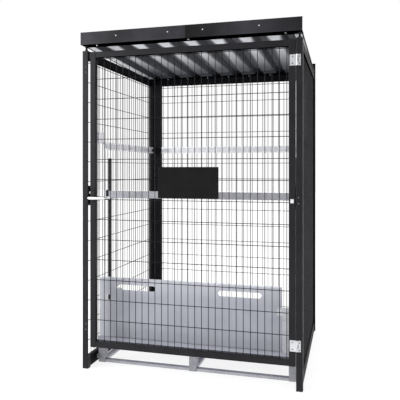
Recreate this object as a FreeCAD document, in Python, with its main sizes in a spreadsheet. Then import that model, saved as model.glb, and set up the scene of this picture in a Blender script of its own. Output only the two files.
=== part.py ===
import FreeCAD, Part
import math
import os
import re

import Sketcher

Vector = FreeCAD.Vector
Rotation = FreeCAD.Rotation

doc = FreeCAD.newDocument("gas_cylinder_cage")

# Driving sizes in millimetres. X is the width, Y runs from front to rear, Z is up from the floor.
SIZES = {
    "cage_width": 1630,
    "cage_depth": 1450,
    "post_height": 2380,
    "post_side": 45,
    "tube_wall": 2,
    "corner_radius": 4,
    "foot_height": 5,
    "cap_height": 4,
    "plug_depth": 25,
    "plug_clearance": 0.3,
    "rail_height": 60,
    "rail_width": 30,
    "bottom_rail_height": 80,
    "rear_stile_width": 80,
    "wire_diameter": 5,
    "wire_pitch": 50,
    "row_pitch": 150,
    "wall_row_margin": 20,
    "door_row_margin": 7.5,
    "strap_height": 1650,
    "strap_rise": 60,
    "strap_sheet": 3,
    "strap_lip": 15,
    "strap_setback": 260,
    "strap_plate_length": 150,
    "strap_plate_rise": 92,
    "strap_plate_lap": 15,
    "fascia_sheet": 3,
    "fascia_rise": 92,
    "fascia_overhang": 30,
    "fascia_flange": 100,
    "fascia_lip": 20,
    "fascia_joint": 0.5,
    "splice_width": 160,
    "splice_margin": 5,
    "stud_height": 40,
    "stud_diameter": 16,
    "nut_across_corners": 27,
    "nut_height": 10,
    "roof_sheet": 0.8,
    "roof_ribs": 4,
    "rib_rise": 35,
    "rib_crest": 40,
    "rib_web": 24,
    "roof_lap": 30,
    "roof_side_gap": 5,
    "roof_end_gap": 11,
    "seat_gap": 0.1,
    "trim_sheet": 2,
    "trim_width": 30,
    "trim_drop": 6,
    "lock_gap": 18,
    "hinge_gap": 4,
    "door_bottom": 165,
    "door_top_gap": 10,
    "door_tube": 45,
    "door_thick": 35,
    "hinge_height": 75,
    "hinge_door_reach": 49.5,
    "hinge_post_reach": 24.5,
    "hinge_sheet": 3,
    "hinge_inset": 140,
    "hinge_offset": 7.5,
    "hinge_forward": 7,
    "hinge_arm_gap": 0.5,
    "hinge_crease": 3,
    "knuckle_radius": 5,
    "knuckle_gap": 0.3,
    "pin_radius": 3,
    "pin_clearance": 0.05,
    "handle_height": 1279,
    "lever_reach": 112,
    "lever_tail": 24,
    "lever_rise": 20,
    "lever_thick": 11,
    "lever_round": 5,
    "lever_stand_off": 22,
    "neck_radius": 9,
    "spindle_side": 8.4,
    "spindle_hole_radius": 6,
    "plate_width": 34,
    "plate_rise": 100,
    "plate_drop": 30,
    "plate_sheet": 5,
    "lever_gap": 0.3,
    "case_clearance": 1,
    "case_side_wall": 4,
    "case_height": 130,
    "case_drop": 40,
    "latch_rise": 40,
    "latch_height": 18,
    "latch_thick": 12,
    "latch_length": 34,
    "latch_reach": 14,
    "latch_clearance": 0.4,
    "strike_sheet": 2,
    "strike_height": 128,
    "strike_drop": 47,
    "strike_hole": 24,
    "strike_stop_gap": 2,
    "strike_stop_lap": 2,
    "cover_width": 22,
    "cover_rise": 27,
    "cover_sheet": 2,
    "sign_width": 450,
    "sign_rise": 225,
    "sign_height": 1285,
    "sign_sheet": 3,
    "base_side_gap": 10,
    "base_front": 160,
    "base_rear": 65,
    "base_height": 200,
    "deck_rise": 50,
    "deck_sheet": 3,
    "leg_side": 55,
    "leg_wall": 3,
    "runner_rise": 20,
    "runner_width": 40,
    "lug_width": 40,
    "lug_rise": 30,
    "lug_height": 25,
    "upright_width": 16,
    "upright_depth": 30,
    "upright_inset": 11,
    "upright_setback": 150,
    "upright_top": 1580,
    "bar_height": 1266,
    "bar_rise": 55,
    "bar_thick": 35,
    "bar_clearance": 1,
    "cradle_sheet": 4,
    "cradle_lip": 64,
    "panel_sheet": 2,
    "panel_rim": 50,
    "panel_top": 650,
    "panel_setback": 10,
    "panel_left_gap": 2,
    "panel_right_gap": 108,
    "slot_length": 320,
    "slot_rise": 40,
    "slot_inset": 301,
    "slot_height": 587,
    "tie_hole_inset": 79,
    "tie_hole_width": 30,
    "tie_hole_rise": 40,
    "tie_hole_height": 484,
    "notch_width": 32,
    "notch_rise": 50,
    "notch_height": 455,
    "socket_width": 40,
    "socket_thick": 6,
    "socket_top": 560,
    "socket_setback": 60,
    "socket_inset": 140,
    "hook_width": 30,
    "hook_sheet": 6,
    "hook_drop": 45,
    "hook_clearance": 0.3,
}

sheet = doc.addObject("Spreadsheet::Sheet", "dim")
for row, (alias, value) in enumerate(SIZES.items(), start=1):
    sheet.set(f"A{row}", alias)
    sheet.set(f"B{row}", str(value))
    sheet.setAlias(f"B{row}", alias)
doc.recompute()

# Places that several pieces share, as sums of the sizes above.
SIDE = "(cage_width / 2)"
FRONT = "(-cage_depth / 2)"
REAR = "(cage_depth / 2)"
CLEAR_WIDTH = "(cage_width - 2 * post_side)"
CLEAR_DEPTH = "(cage_depth - 2 * post_side)"
CLEAR_HEIGHT = "(post_height - foot_height - rail_height - bottom_rail_height)"
POST_MIDDLE = "(cage_width / 2 - post_side / 2)"
WALL_MIDDLE = "(cage_depth / 2 - post_side / 2)"
DOOR_LEFT = "(post_side + lock_gap - cage_width / 2)"
DOOR_RIGHT = "(cage_width / 2 - post_side - hinge_gap)"
DOOR_WIDTH = "(cage_width - 2 * post_side - lock_gap - hinge_gap)"
DOOR_CENTRE = "((lock_gap - hinge_gap) / 2)"
DOOR_HEIGHT = "(post_height - door_top_gap - door_bottom)"
DOOR_BACK = "(-cage_depth / 2 + door_thick)"
DOOR_MIDDLE = "(-cage_depth / 2 + door_thick / 2)"
HINGE_X = "(cage_width / 2 - post_side + hinge_offset)"
HINGE_Y = "(-cage_depth / 2 - hinge_forward)"
HANDLE_X = "(door_tube / 2 - cage_width / 2 + post_side + lock_gap)"
LATCH_Z = "(handle_height + latch_rise)"
FASCIA_FRONT = "(-cage_depth / 2 - fascia_overhang)"
ROOF_RUN = "(cage_depth + fascia_overhang - fascia_flange - roof_end_gap)"
BASE_SIDE = "(cage_width / 2 - post_side - base_side_gap)"
BASE_FRONT = "(base_front - cage_depth / 2)"
BASE_REAR = "(cage_depth / 2 - base_rear)"
DECK_UNDER = "(base_height - deck_rise)"
UPRIGHT_FRONT = "(base_front - cage_depth / 2 + upright_setback)"
PANEL_FRONT = "(base_front - cage_depth / 2 + panel_setback)"
PANEL_MIDDLE = "((panel_left_gap - panel_right_gap) / 2)"

ALONG = {"x": Rotation(Vector(0, 1, 0), 90), "y": Rotation(Vector(1, 0, 0), -90), "z": Rotation()}
AXES = ("x", "y", "z")
WIRE_SIDES = 8
WIRE_FLATS = Rotation(Vector(0, 0, 1), 180 / WIRE_SIDES)
nodes = []


def tie(text):
    """Turn size names into references to their cells."""

    def cell(word):
        name = word.group()
        return f"dim.{name}" if name in SIZES else name

    return re.sub(r"[a-z_]+", cell, text)


def number(text):
    """Work out a sum of sizes as a plain number."""
    return float(sheet.evalExpression(tie(text)))


def bind(item, **sizes):
    """Bind properties of a document object to sums of sizes."""
    for name, text in sizes.items():
        item.setExpression(name, tie(text))


def place(item, corner, turn=None):
    """Put an object at a corner given as three sums of sizes."""
    if turn is not None:
        item.Placement = FreeCAD.Placement(Vector(), turn)
    for axis, text in zip(AXES, corner):
        item.setExpression(f"Placement.Base.{axis}", tie(text))
    return item


def keep(item):
    """List an object as one sub-part of the cage."""
    nodes.append(item)
    return item


def block(label, size, corner):
    item = doc.addObject("Part::Box", label)
    bind(item, Length=size[0], Width=size[1], Height=size[2])
    return place(item, corner)


def rod(label, radius, length, start, axis):
    item = doc.addObject("Part::Cylinder", label)
    bind(item, Radius=radius, Height=length)
    return place(item, start, ALONG[axis])


def joined(label, *items):
    item = doc.addObject("Part::MultiFuse", label)
    item.Shapes = list(items)
    return item


def cut(label, base, tool):
    item = doc.addObject("Part::Cut", label)
    item.Base = base
    item.Tool = tool
    return item


def set_of(label, items):
    """Like pieces that share one name stay separate solids."""
    item = doc.addObject("Part::Compound", label)
    item.Links = list(items)
    return item


def rounded(label, base, axis, radius):
    """Round the edges of a block that run along one axis."""
    doc.recompute()
    edges = []
    for index, edge in enumerate(base.Shape.Edges, start=1):
        if round(abs(getattr(edge.tangentAt(edge.FirstParameter), axis)), 3) == 1:
            edges.append((index, number(radius), number(radius)))
    item = doc.addObject("Part::Fillet", label)
    item.Base = base
    item.Edges = edges
    return item


def tube(label, size, corner, axis, wall="tube_wall", rolled=True):
    """A rectangular tube open at both ends, its corners rolled round where they show."""
    outer = block(f"{label}_bar", size, corner)
    if rolled:
        outer = rounded(f"{label}_rolled", outer, axis, "corner_radius")
    bore_size = []
    bore_corner = []
    for name, extent, start in zip(AXES, size, corner):
        inside = name == axis
        bore_size.append(extent if inside else f"{extent} - 2 * {wall}")
        bore_corner.append(start if inside else f"{start} + {wall}")
    return cut(label, outer, block(f"{label}_bore", bore_size, bore_corner))


def outline(label, points, turn, origin):
    """A closed sketch whose corners are held by sums of sizes."""
    sketch = doc.addObject("Sketcher::SketchObject", label)
    corners = [Vector(number(across), number(up), 0) for across, up in points]
    count = len(corners)
    for index, corner in enumerate(corners):
        sketch.addGeometry(Part.LineSegment(corner, corners[(index + 1) % count]))
    for index in range(count):
        sketch.addConstraint(Sketcher.Constraint("Coincident", index, 2, (index + 1) % count, 1))
    for index, (across, up) in enumerate(points):
        for kind, line, text, value in (
            ("DistanceX", -2, across, corners[index].x),
            ("DistanceY", -1, up, corners[index].y),
        ):
            if text == "0":
                sketch.addConstraint(Sketcher.Constraint("PointOnObject", index, 1, line))
            else:
                held = sketch.addConstraint(Sketcher.Constraint(kind, -1, 1, index, 1, value))
                sketch.setExpression(f"Constraints[{held}]", tie(text))
    return place(sketch, origin, turn)


def profile(label, points, length, turn, origin):
    """A section pushed along its own normal, as a rolled or folded length is."""
    item = doc.addObject("Part::Extrusion", label)
    item.Base = outline(f"{label}_section", points, turn, origin)
    item.DirMode = "Normal"
    item.Solid = True
    bind(item, LengthFwd=length)
    return item


def wire_layer(label, axis, first, length, step_axis, spacing, count):
    """One layer of a mat: an eight-sided wire repeated at an even spacing."""
    body = doc.addObject("PartDesign::Body", label)
    body.AllowCompound = True
    wire = doc.addObject("PartDesign::AdditivePrism", f"{label}_wire")
    body.addObject(wire)
    wire.Polygon = WIRE_SIDES
    bind(wire, Circumradius=f"wire_diameter / 2 / cos(180 / {WIRE_SIDES})", Height=length)
    place(wire, first, ALONG[axis] * WIRE_FLATS)
    pattern = doc.addObject("PartDesign::LinearPattern", f"{label}_pattern")
    body.addObject(pattern)
    pattern.Originals = [wire]
    line = [item for item in body.Origin.OriginFeatures if item.Role == step_axis][0]
    pattern.Direction = (line, [""])
    pattern.Mode = "Spacing"
    bind(pattern, Offset=spacing, Occurrences=count)
    body.Tip = pattern
    return body


def wire_mat(label, corner, turn, outer, width, height, row_margin):
    """Welded mesh: upright wires on the outer side, and rows of cross wires that touch them."""
    bays = f"floor(({width} - 2 * wire_diameter) / wire_pitch)"
    rows = f"floor(({height} - {row_margin} - wire_diameter) / row_pitch)"
    first_upright = (f"({width} - wire_pitch * {bays}) / 2", f"{outer} * wire_diameter / 2", "0")
    first_row = ("0", f"-({outer}) * wire_diameter / 2", f"{height} - {row_margin} - row_pitch * {rows}")
    bay_run = ("X_Axis", "wire_pitch", f"{bays} + 1")
    row_run = ("Z_Axis", "row_pitch", f"{rows} + 1")
    uprights = wire_layer(f"{label}_uprights", "z", first_upright, height, *bay_run)
    cross_wires = wire_layer(f"{label}_rows", "x", first_row, width, *row_run)
    return set_of(label, [place(layer, corner, turn) for layer in (uprights, cross_wires)])


# Four square-tube corner posts on plastic feet, closed by caps.
plugs = {"post_feet": [], "post_caps": []}
for depth, y_start in (("front", FRONT), ("rear", f"{REAR} - post_side")):
    for hand, x_start in (("left", f"-{SIDE}"), ("right", f"{SIDE} - post_side")):
        stem = "(post_height - foot_height - cap_height)"
        post_size = ("post_side", "post_side", stem)
        keep(tube(f"post_{depth}_{hand}", post_size, (x_start, y_start, "foot_height"), "z"))
        plug_side = "post_side - 2 * tube_wall - 2 * plug_clearance"
        plug_x = f"{x_start} + tube_wall + plug_clearance"
        plug_y = f"{y_start} + tube_wall + plug_clearance"
        for group, flange_height, flange_z, plug_z in (
            ("post_feet", "foot_height", "0", "foot_height"),
            ("post_caps", "cap_height", "post_height - cap_height", "post_height - cap_height - plug_depth"),
        ):
            name = f"{group}_{depth}_{hand}"
            flange_size = ("post_side", "post_side", flange_height)
            flange = block(f"{name}_flange", flange_size, (x_start, y_start, flange_z))
            plug = block(f"{name}_plug", (plug_side, plug_side, "plug_depth"), (plug_x, plug_y, plug_z))
            plugs[group].append(joined(name, flange, plug))
for group, members in plugs.items():
    keep(set_of(group, members))

# Wall rails between the posts, at the floor and flush with the post tops.
rail_levels = {
    "bottom": ("foot_height", "bottom_rail_height"),
    "top": ("post_height - rail_height", "rail_height"),
}
for level, (rail_z, rail_rise) in rail_levels.items():
    for hand, sign in (("left", "-1"), ("right", "1")):
        rail_x = f"{sign} * {POST_MIDDLE} - rail_width / 2"
        rail_corner = (rail_x, f"{FRONT} + post_side", rail_z)
        rail_size = ("rail_width", CLEAR_DEPTH, rail_rise)
        keep(tube(f"side_{level}_rail_{hand}", rail_size, rail_corner, "y", rolled=False))
    rear_corner = (f"post_side - {SIDE}", f"{WALL_MIDDLE} - rail_width / 2", rail_z)
    rail_size = (CLEAR_WIDTH, "rail_width", rail_rise)
    keep(tube(f"rear_{level}_rail", rail_size, rear_corner, "x", rolled=False))

# Wide stiles close the rear wall beside its posts, between the rails.
mat_bottom = "foot_height + bottom_rail_height"
stile_size = ("rear_stile_width", "rail_width", CLEAR_HEIGHT)
stiles = []
for hand, stile_x in (
    ("left", f"post_side - {SIDE}"),
    ("right", f"{SIDE} - post_side - rear_stile_width"),
):
    stile_corner = (stile_x, f"{WALL_MIDDLE} - rail_width / 2", mat_bottom)
    stiles.append(tube(f"rear_stile_{hand}", stile_size, stile_corner, "z", rolled=False))
keep(set_of("rear_stiles", stiles))

# Welded mesh mats butt against the rails, posts and stiles of the three walls.
QUARTER_TURN = Rotation(Vector(0, 0, 1), 90)
for hand, sign, outer in (("left", "-1", "1"), ("right", "1", "-1")):
    mat_corner = (f"{sign} * {POST_MIDDLE}", f"{FRONT} + post_side", mat_bottom)
    mat_sizes = (CLEAR_DEPTH, CLEAR_HEIGHT, "wall_row_margin")
    keep(wire_mat(f"mesh_{hand}", mat_corner, QUARTER_TURN, outer, *mat_sizes))
mat_corner = (f"post_side + rear_stile_width - {SIDE}", WALL_MIDDLE, mat_bottom)
rear_clear = f"({CLEAR_WIDTH} - 2 * rear_stile_width)"
keep(wire_mat("mesh_rear", mat_corner, Rotation(), "1", rear_clear, CLEAR_HEIGHT, "wall_row_margin"))

# Galvanised strapping rails: folded channels that run inside the mats, between the stiles at the rear.
# At the sides they end in a plate for the strap's buckle.
strap_depth = "(post_side / 2 - wire_diameter)"
strap_points = [
    ("0", "0"),
    (strap_depth, "0"),
    (strap_depth, "strap_lip"),
    (f"{strap_depth} - strap_sheet", "strap_lip"),
    (f"{strap_depth} - strap_sheet", "strap_sheet"),
    ("strap_sheet", "strap_sheet"),
    ("strap_sheet", "strap_rise - strap_sheet"),
    (f"{strap_depth} - strap_sheet", "strap_rise - strap_sheet"),
    (f"{strap_depth} - strap_sheet", "strap_rise - strap_lip"),
    (strap_depth, "strap_rise - strap_lip"),
    (strap_depth, "strap_rise"),
    ("0", "strap_rise"),
]
UPRIGHT_SECTION = Rotation(Vector(1, 0, 0), 90)
strap_back = f"({SIDE} - post_side + {strap_depth})"
rear_back = f"{REAR} - post_side + {strap_depth}"
side_start = f"({FRONT} + post_side + strap_setback)"
side_length = f"({CLEAR_DEPTH} - strap_setback)"
plate_size = ("strap_sheet", "strap_plate_length", "strap_plate_rise")
plate_z = "strap_height + strap_rise - strap_plate_lap"
for hand, turn, strap_x, strap_y, plate_x in (
    ("left", 0, f"-{strap_back}", f"{REAR} - post_side", f"-{strap_back}"),
    ("right", 180, strap_back, side_start, f"{strap_back} - strap_sheet"),
):
    strap_turn = Rotation(Vector(0, 0, 1), turn) * UPRIGHT_SECTION
    strap_origin = (strap_x, strap_y, "strap_height")
    channel = profile(f"strap_channel_{hand}", strap_points, side_length, strap_turn, strap_origin)
    plate_corner = (plate_x, f"{side_start} - strap_plate_length", plate_z)
    keep(joined(f"strap_rail_{hand}", channel, block(f"strap_plate_{hand}", plate_size, plate_corner)))
strap_turn = Rotation(Vector(0, 0, 1), -90) * UPRIGHT_SECTION
strap_origin = (f"{SIDE} - post_side - rear_stile_width", rear_back, "strap_height")
keep(profile("strap_rail_rear", strap_points, rear_clear, strap_turn, strap_origin))

# Folded fascias, two lengths at the front on studs and two at the rear on the post caps.
fascia_points = [
    ("0", "0"),
    ("fascia_flange", "0"),
    ("fascia_flange", "fascia_sheet"),
    ("fascia_sheet", "fascia_sheet"),
    ("fascia_sheet", "fascia_rise - fascia_sheet"),
    ("fascia_lip", "fascia_rise - fascia_sheet"),
    ("fascia_lip", "fascia_rise"),
    ("0", "fascia_rise"),
]
CROSSWISE = Rotation(Vector(1, 1, 1), 120)
fascia_length = f"{SIDE} - fascia_joint / 2"
fascia_levels = {"front": "post_height + stud_height", "rear": "post_height"}
fascia_turns = {"front": CROSSWISE, "rear": Rotation(Vector(0, 0, 1), 180) * CROSSWISE}
fascia_starts = {
    "front": {"left": f"-{SIDE}", "right": "fascia_joint / 2"},
    "rear": {"left": "-fascia_joint / 2", "right": SIDE},
}
splices = []
for depth, face in (("front", FASCIA_FRONT), ("rear", REAR)):
    for hand in ("left", "right"):
        origin = (fascia_starts[depth][hand], face, fascia_levels[depth])
        keep(profile(f"fascia_{depth}_{hand}", fascia_points, fascia_length, fascia_turns[depth], origin))
    splice_y = f"{FASCIA_FRONT} + fascia_sheet" if depth == "front" else f"{REAR} - 2 * fascia_sheet"
    splice_rise = "fascia_rise - 2 * fascia_sheet - 2 * splice_margin"
    splice_z = f"{fascia_levels[depth]} + fascia_sheet + splice_margin"
    splice_size = ("splice_width", "fascia_sheet", splice_rise)
    splices.append(block(f"splice_{depth}", splice_size, ("-splice_width / 2", splice_y, splice_z)))
keep(set_of("fascia_splices", splices))

# Two studs with nuts hold the front of the roof up, which gives it a fall to the rear.
studs = []
for hand, sign in (("left", "-1"), ("right", "1")):
    stud_x = f"{sign} * {POST_MIDDLE}"
    stud_start = (stud_x, f"-{WALL_MIDDLE}", "post_height")
    members = [rod(f"stud_{hand}_shank", "stud_diameter / 2", "stud_height", stud_start, "z")]
    for end, nut_z in (("lower", "post_height"), ("upper", "post_height + stud_height - nut_height")):
        nut = doc.addObject("Part::Prism", f"stud_{hand}_{end}_nut")
        nut.Polygon = 6
        bind(nut, Circumradius="nut_across_corners / 2", Height="nut_height")
        members.append(place(nut, (stud_x, f"-{WALL_MIDDLE}", nut_z)))
    studs.append(joined(f"stud_{hand}", *members))
keep(set_of("roof_studs", studs))

# Two trapezoidal sheets, ribs from front to rear, rest on the fascia flanges and lap in the middle.
ribs = SIZES["roof_ribs"]
fall = math.degrees(math.atan(number(f"stud_height / {ROOF_RUN}")))
rib_pitch = "((cage_width / 2 - roof_side_gap) / roof_ribs)"
valley = f"(({rib_pitch} - rib_crest - 2 * rib_web) / 2)"
ROOF_SLOPE = Rotation(Vector(1, 0, 0), -fall) * Rotation(Vector(1, 0, 0), 90)
roof_seat = "post_height + stud_height + fascia_sheet + seat_gap"
roof_rest = f"{roof_seat} + (fascia_flange - roof_end_gap) * stud_height / {ROOF_RUN}"


def roof_points(lap):
    """The wave of a sheet: its upper line one way, its lower line back."""
    line = [("0", "0")]
    for rib in range(ribs):
        start = f"{rib} * {rib_pitch} + {valley}"
        line.append((start, "0"))
        line.append((f"{start} + rib_web", "rib_rise"))
        line.append((f"{start} + rib_web + rib_crest", "rib_rise"))
        line.append((f"{start} + 2 * rib_web + rib_crest", "0"))
    line.append((f"{ribs} * {rib_pitch} + {lap}", "0"))
    upper = [(across, f"{up} + roof_sheet") for across, up in line]
    return line + upper[::-1]


for hand, sheet_x, lift, lap in (
    ("left", f"roof_side_gap - {SIDE}", "0", "roof_lap"),
    ("right", "0", "roof_sheet + seat_gap", "0"),
):
    length = f"(cage_depth + fascia_overhang - 2 * roof_end_gap) / cos({fall})"
    origin = (sheet_x, f"{FASCIA_FRONT} + roof_end_gap", f"{roof_rest} + {lift}")
    roof = keep(profile(f"roof_sheet_{hand}", roof_points(lap), length, ROOF_SLOPE, origin))
    roof.Reversed = True

# Slim angles cover the outer edges of the roof sheets between the fascia flanges.
trim_left = [
    ("0", "0"),
    ("trim_sheet", "0"),
    ("trim_sheet", "trim_drop"),
    ("trim_width", "trim_drop"),
    ("trim_width", "trim_drop + trim_sheet"),
    ("0", "trim_drop + trim_sheet"),
]
trim_right = [(f"trim_width - {across}", up) for across, up in trim_left]
trim_edge = f"({SIDE} - roof_side_gap + seat_gap + trim_sheet)"
trim_start = f"{FASCIA_FRONT} + fascia_flange + seat_gap"
trim_rest = f"{roof_seat} + roof_sheet + 2 * seat_gap - trim_drop"
for hand, points, trim_x, lift in (
    ("left", trim_left, f"-{trim_edge}", "0"),
    ("right", trim_right, f"{trim_edge} - trim_width", "roof_sheet + seat_gap"),
):
    length = "cage_depth + fascia_overhang - 2 * fascia_flange - 2 * seat_gap"
    origin = (trim_x, trim_start, f"{trim_rest} + {lift}")
    trim = keep(profile(f"verge_trim_{hand}", points, length, ROOF_SLOPE, origin))
    trim.Reversed = True

# Door frame of four tubes: full-height stiles with rails between them.
door_size = ("door_tube", "door_thick", DOOR_HEIGHT)
stile_lock = tube("door_stile_tube", door_size, (DOOR_LEFT, FRONT, "door_bottom"), "z")
keep(tube("door_stile_hinge", door_size, (f"{DOOR_RIGHT} - door_tube", FRONT, "door_bottom"), "z"))
door_clear = f"({DOOR_WIDTH} - 2 * door_tube)"
for level, rail_z in (("top", "post_height - door_top_gap - door_tube"), ("bottom", "door_bottom")):
    rail_corner = (f"{DOOR_LEFT} + door_tube", FRONT, rail_z)
    keep(tube(f"door_rail_{level}", (door_clear, "door_thick", "door_tube"), rail_corner, "x"))
mat_corner = (f"{DOOR_LEFT} + door_tube", DOOR_MIDDLE, "door_bottom + door_tube")
door_rise = f"({DOOR_HEIGHT} - 2 * door_tube)"
keep(wire_mat("door_mesh", mat_corner, Rotation(), "-1", door_clear, door_rise, "door_row_margin"))

# The lock stile has a slot for the latch in its edge and a hole for the spindle through it.
latch_slot = block(
    "latch_slot",
    ("2 * tube_wall", "latch_thick + 2 * latch_clearance", "latch_height + 2 * latch_clearance"),
    (
        f"{DOOR_LEFT} - tube_wall",
        f"{DOOR_MIDDLE} - latch_thick / 2 - latch_clearance",
        f"{LATCH_Z} - latch_height / 2 - latch_clearance",
    ),
)
spindle_start = (HANDLE_X, FRONT, "handle_height")
spindle_hole = rod("spindle_hole", "spindle_hole_radius", "door_thick", spindle_start, "y")
keep(cut("door_stile_lock", stile_lock, joined("lock_stile_openings", latch_slot, spindle_hole)))

# Two butt hinges on the front faces, with their pins in front of the post. The post leaf holds the pin
# in its outer knuckles, the door leaf turns about the pin on the middle one and laps over the door gap.
knuckle_third = "((hinge_height - 2 * knuckle_gap) / 3)"
hinge_levels = {"upper": "post_height - door_top_gap - hinge_inset", "lower": "door_bottom + hinge_inset"}
door_arm = "(hinge_offset + hinge_gap)"
door_lap = f"({door_arm} - knuckle_radius - 2 * hinge_arm_gap)"
post_arm = "(knuckle_radius + hinge_crease)"
pins = []
for level, middle in hinge_levels.items():
    base_z = f"({middle} - hinge_height / 2)"
    thirds = [f"{base_z} + {step} * ({knuckle_third} + knuckle_gap)" for step in range(3)]
    for side, leaf_x, leaf_wide, arm_x, arm_wide, mine in (
        (
            "post",
            f"{HINGE_X} + {post_arm}",
            f"hinge_post_reach - {post_arm}",
            HINGE_X,
            post_arm,
            (thirds[0], thirds[2]),
        ),
        (
            "door",
            f"{HINGE_X} - hinge_door_reach",
            f"hinge_door_reach - {door_arm}",
            f"{HINGE_X} - {door_arm}",
            door_arm,
            (thirds[1],),
        ),
    ):
        name = f"hinge_leaf_{level}_{side}"
        leaf_size = (leaf_wide, "hinge_sheet", "hinge_height")
        leaf = block(f"{name}_plate", leaf_size, (leaf_x, f"{FRONT} - hinge_sheet", base_z))
        members = [leaf]
        if side == "door":
            lap_size = (door_lap, "hinge_sheet - hinge_arm_gap", "hinge_height")
            members.append(block(f"{name}_lap", lap_size, (arm_x, f"{FRONT} - hinge_sheet", base_z)))
        for step, third in enumerate(mine):
            arm_size = (arm_wide, "hinge_sheet - hinge_arm_gap", knuckle_third)
            members.append(block(f"{name}_arm_{step}", arm_size, (arm_x, f"{FRONT} - hinge_sheet", third)))
            knuckle_start = (HINGE_X, HINGE_Y, third)
            members.append(rod(f"{name}_knuckle_{step}", "knuckle_radius", knuckle_third, knuckle_start, "z"))
        bore_start = (HINGE_X, HINGE_Y, base_z)
        bore = rod(f"{name}_bore", "pin_radius + pin_clearance", "hinge_height", bore_start, "z")
        keep(cut(name, joined(f"{name}_blank", *members), bore))
    pins.append(rod(f"hinge_pin_{level}", "pin_radius", "hinge_height", (HINGE_X, HINGE_Y, base_z), "z"))
keep(set_of("hinge_pins", pins))

# Narrow lock case inside the stile, with a channel for the latch and a bore for the spindle.
case_x = f"{DOOR_LEFT} + tube_wall + case_clearance"
case_wide = "(door_tube - 2 * tube_wall - 2 * case_clearance)"
case_deep = "(door_thick - 2 * tube_wall - 2 * case_clearance)"
case_corner = (case_x, f"{DOOR_MIDDLE} - {case_deep} / 2", "handle_height - case_drop")
case_body = block("lock_case_body", (case_wide, case_deep, "case_height"), case_corner)
channel_corner = (
    f"{case_x} - case_side_wall",
    f"{DOOR_MIDDLE} - latch_thick / 2 - latch_clearance",
    f"{LATCH_Z} - latch_height / 2 - latch_clearance",
)
channel_size = (case_wide, "latch_thick + 2 * latch_clearance", "latch_height + 2 * latch_clearance")
channel = block("lock_case_channel", channel_size, channel_corner)
follower_hole = rod("follower_hole", "spindle_hole_radius", "door_thick", spindle_start, "y")
keep(cut("lock_case", case_body, joined("lock_case_openings", channel, follower_hole)))

# Latch bolt: a square bar with its leading corner bevelled, so that it rides over the strike.
latch_points = [
    ("0", "0"),
    ("latch_length", "0"),
    ("latch_length", "latch_thick"),
    ("latch_reach", "latch_thick"),
    ("0", "latch_thick / 3"),
]
latch_origin = (
    f"{DOOR_LEFT} - latch_reach",
    f"{DOOR_MIDDLE} - latch_thick / 2",
    f"{LATCH_Z} - latch_height / 2",
)
keep(profile("latch_bolt", latch_points, "latch_height", Rotation(), latch_origin))

# Lever handle pair on one square spindle, each in front of a narrow plate on the stile.
lever_z = "handle_height - lever_rise / 2"
outer_face = f"({FRONT} - plate_sheet - lever_gap)"
inner_face = f"({DOOR_BACK} + plate_sheet + lever_gap)"
plates = []
for side, plate_y, neck_y, arm_y in (
    (
        "outer",
        f"{FRONT} - plate_sheet",
        f"{outer_face} - lever_stand_off - lever_thick / 2",
        f"{outer_face} - lever_stand_off - lever_thick",
    ),
    ("inner", DOOR_BACK, inner_face, f"{inner_face} + lever_stand_off"),
):
    plate_corner = (f"{HANDLE_X} - plate_width / 2", plate_y, "handle_height - plate_drop")
    plate = block(f"plate_{side}_blank", ("plate_width", "plate_sheet", "plate_rise"), plate_corner)
    plate_hole_start = (HANDLE_X, plate_y, "handle_height")
    plate_hole = rod(f"plate_{side}_hole", "spindle_hole_radius", "plate_sheet", plate_hole_start, "y")
    plates.append(cut(f"plate_{side}", plate, plate_hole))
    neck_start = (HANDLE_X, neck_y, "handle_height")
    neck = rod(f"lever_{side}_neck", "neck_radius", "lever_stand_off + lever_thick / 2", neck_start, "y")
    arm_size = ("lever_reach + lever_tail", "lever_thick", "lever_rise")
    arm = block(f"lever_{side}_bar", arm_size, (f"{HANDLE_X} - lever_tail", arm_y, lever_z))
    keep(joined(f"lever_{side}", neck, rounded(f"lever_{side}_arm", arm, "x", "lever_round")))
keep(set_of("handle_plates", plates))
spindle_size = ("spindle_side", f"{inner_face} - {outer_face}", "spindle_side")
spindle_corner = (f"{HANDLE_X} - spindle_side / 2", outer_face, "handle_height - spindle_side / 2")
keep(block("lever_spindle", spindle_size, spindle_corner))

# Strike on the lock post: an angle whose second leg stops the door and closes the gap.
strike_z = "handle_height - strike_drop"
strike_points = [
    ("0", "0"),
    ("strike_sheet", "0"),
    ("strike_sheet", "door_thick + strike_stop_gap"),
    ("lock_gap + strike_stop_lap", "door_thick + strike_stop_gap"),
    ("lock_gap + strike_stop_lap", "door_thick + strike_stop_gap + strike_sheet"),
    ("0", "door_thick + strike_stop_gap + strike_sheet"),
]
strike_blank = profile(
    "strike_blank", strike_points, "strike_height", Rotation(), (f"post_side - {SIDE}", FRONT, strike_z)
)
strike_hole = block(
    "strike_hole",
    ("strike_sheet", "strike_hole - latch_thick / 2", "strike_hole"),
    (f"post_side - {SIDE}", f"{DOOR_MIDDLE} - latch_thick / 2", f"{LATCH_Z} - strike_hole / 2"),
)
keep(cut("strike_plate", strike_blank, strike_hole))

# A small cover closes the spare lock cut-out in the hinge stile.
cover_corner = (
    f"{DOOR_RIGHT} - door_tube / 2 - cover_width / 2",
    f"{FRONT} - cover_sheet",
    "handle_height - cover_rise / 2",
)
keep(block("blanking_cover", ("cover_width", "cover_sheet", "cover_rise"), cover_corner))

# Bare sign plate in front of the door mesh.
sign_y = f"{DOOR_MIDDLE} - wire_diameter - sign_sheet"
sign_size = ("sign_width", "sign_sheet", "sign_rise")
keep(block("sign_plate", sign_size, (f"{DOOR_CENTRE} - sign_width / 2", sign_y, "sign_height")))

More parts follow.
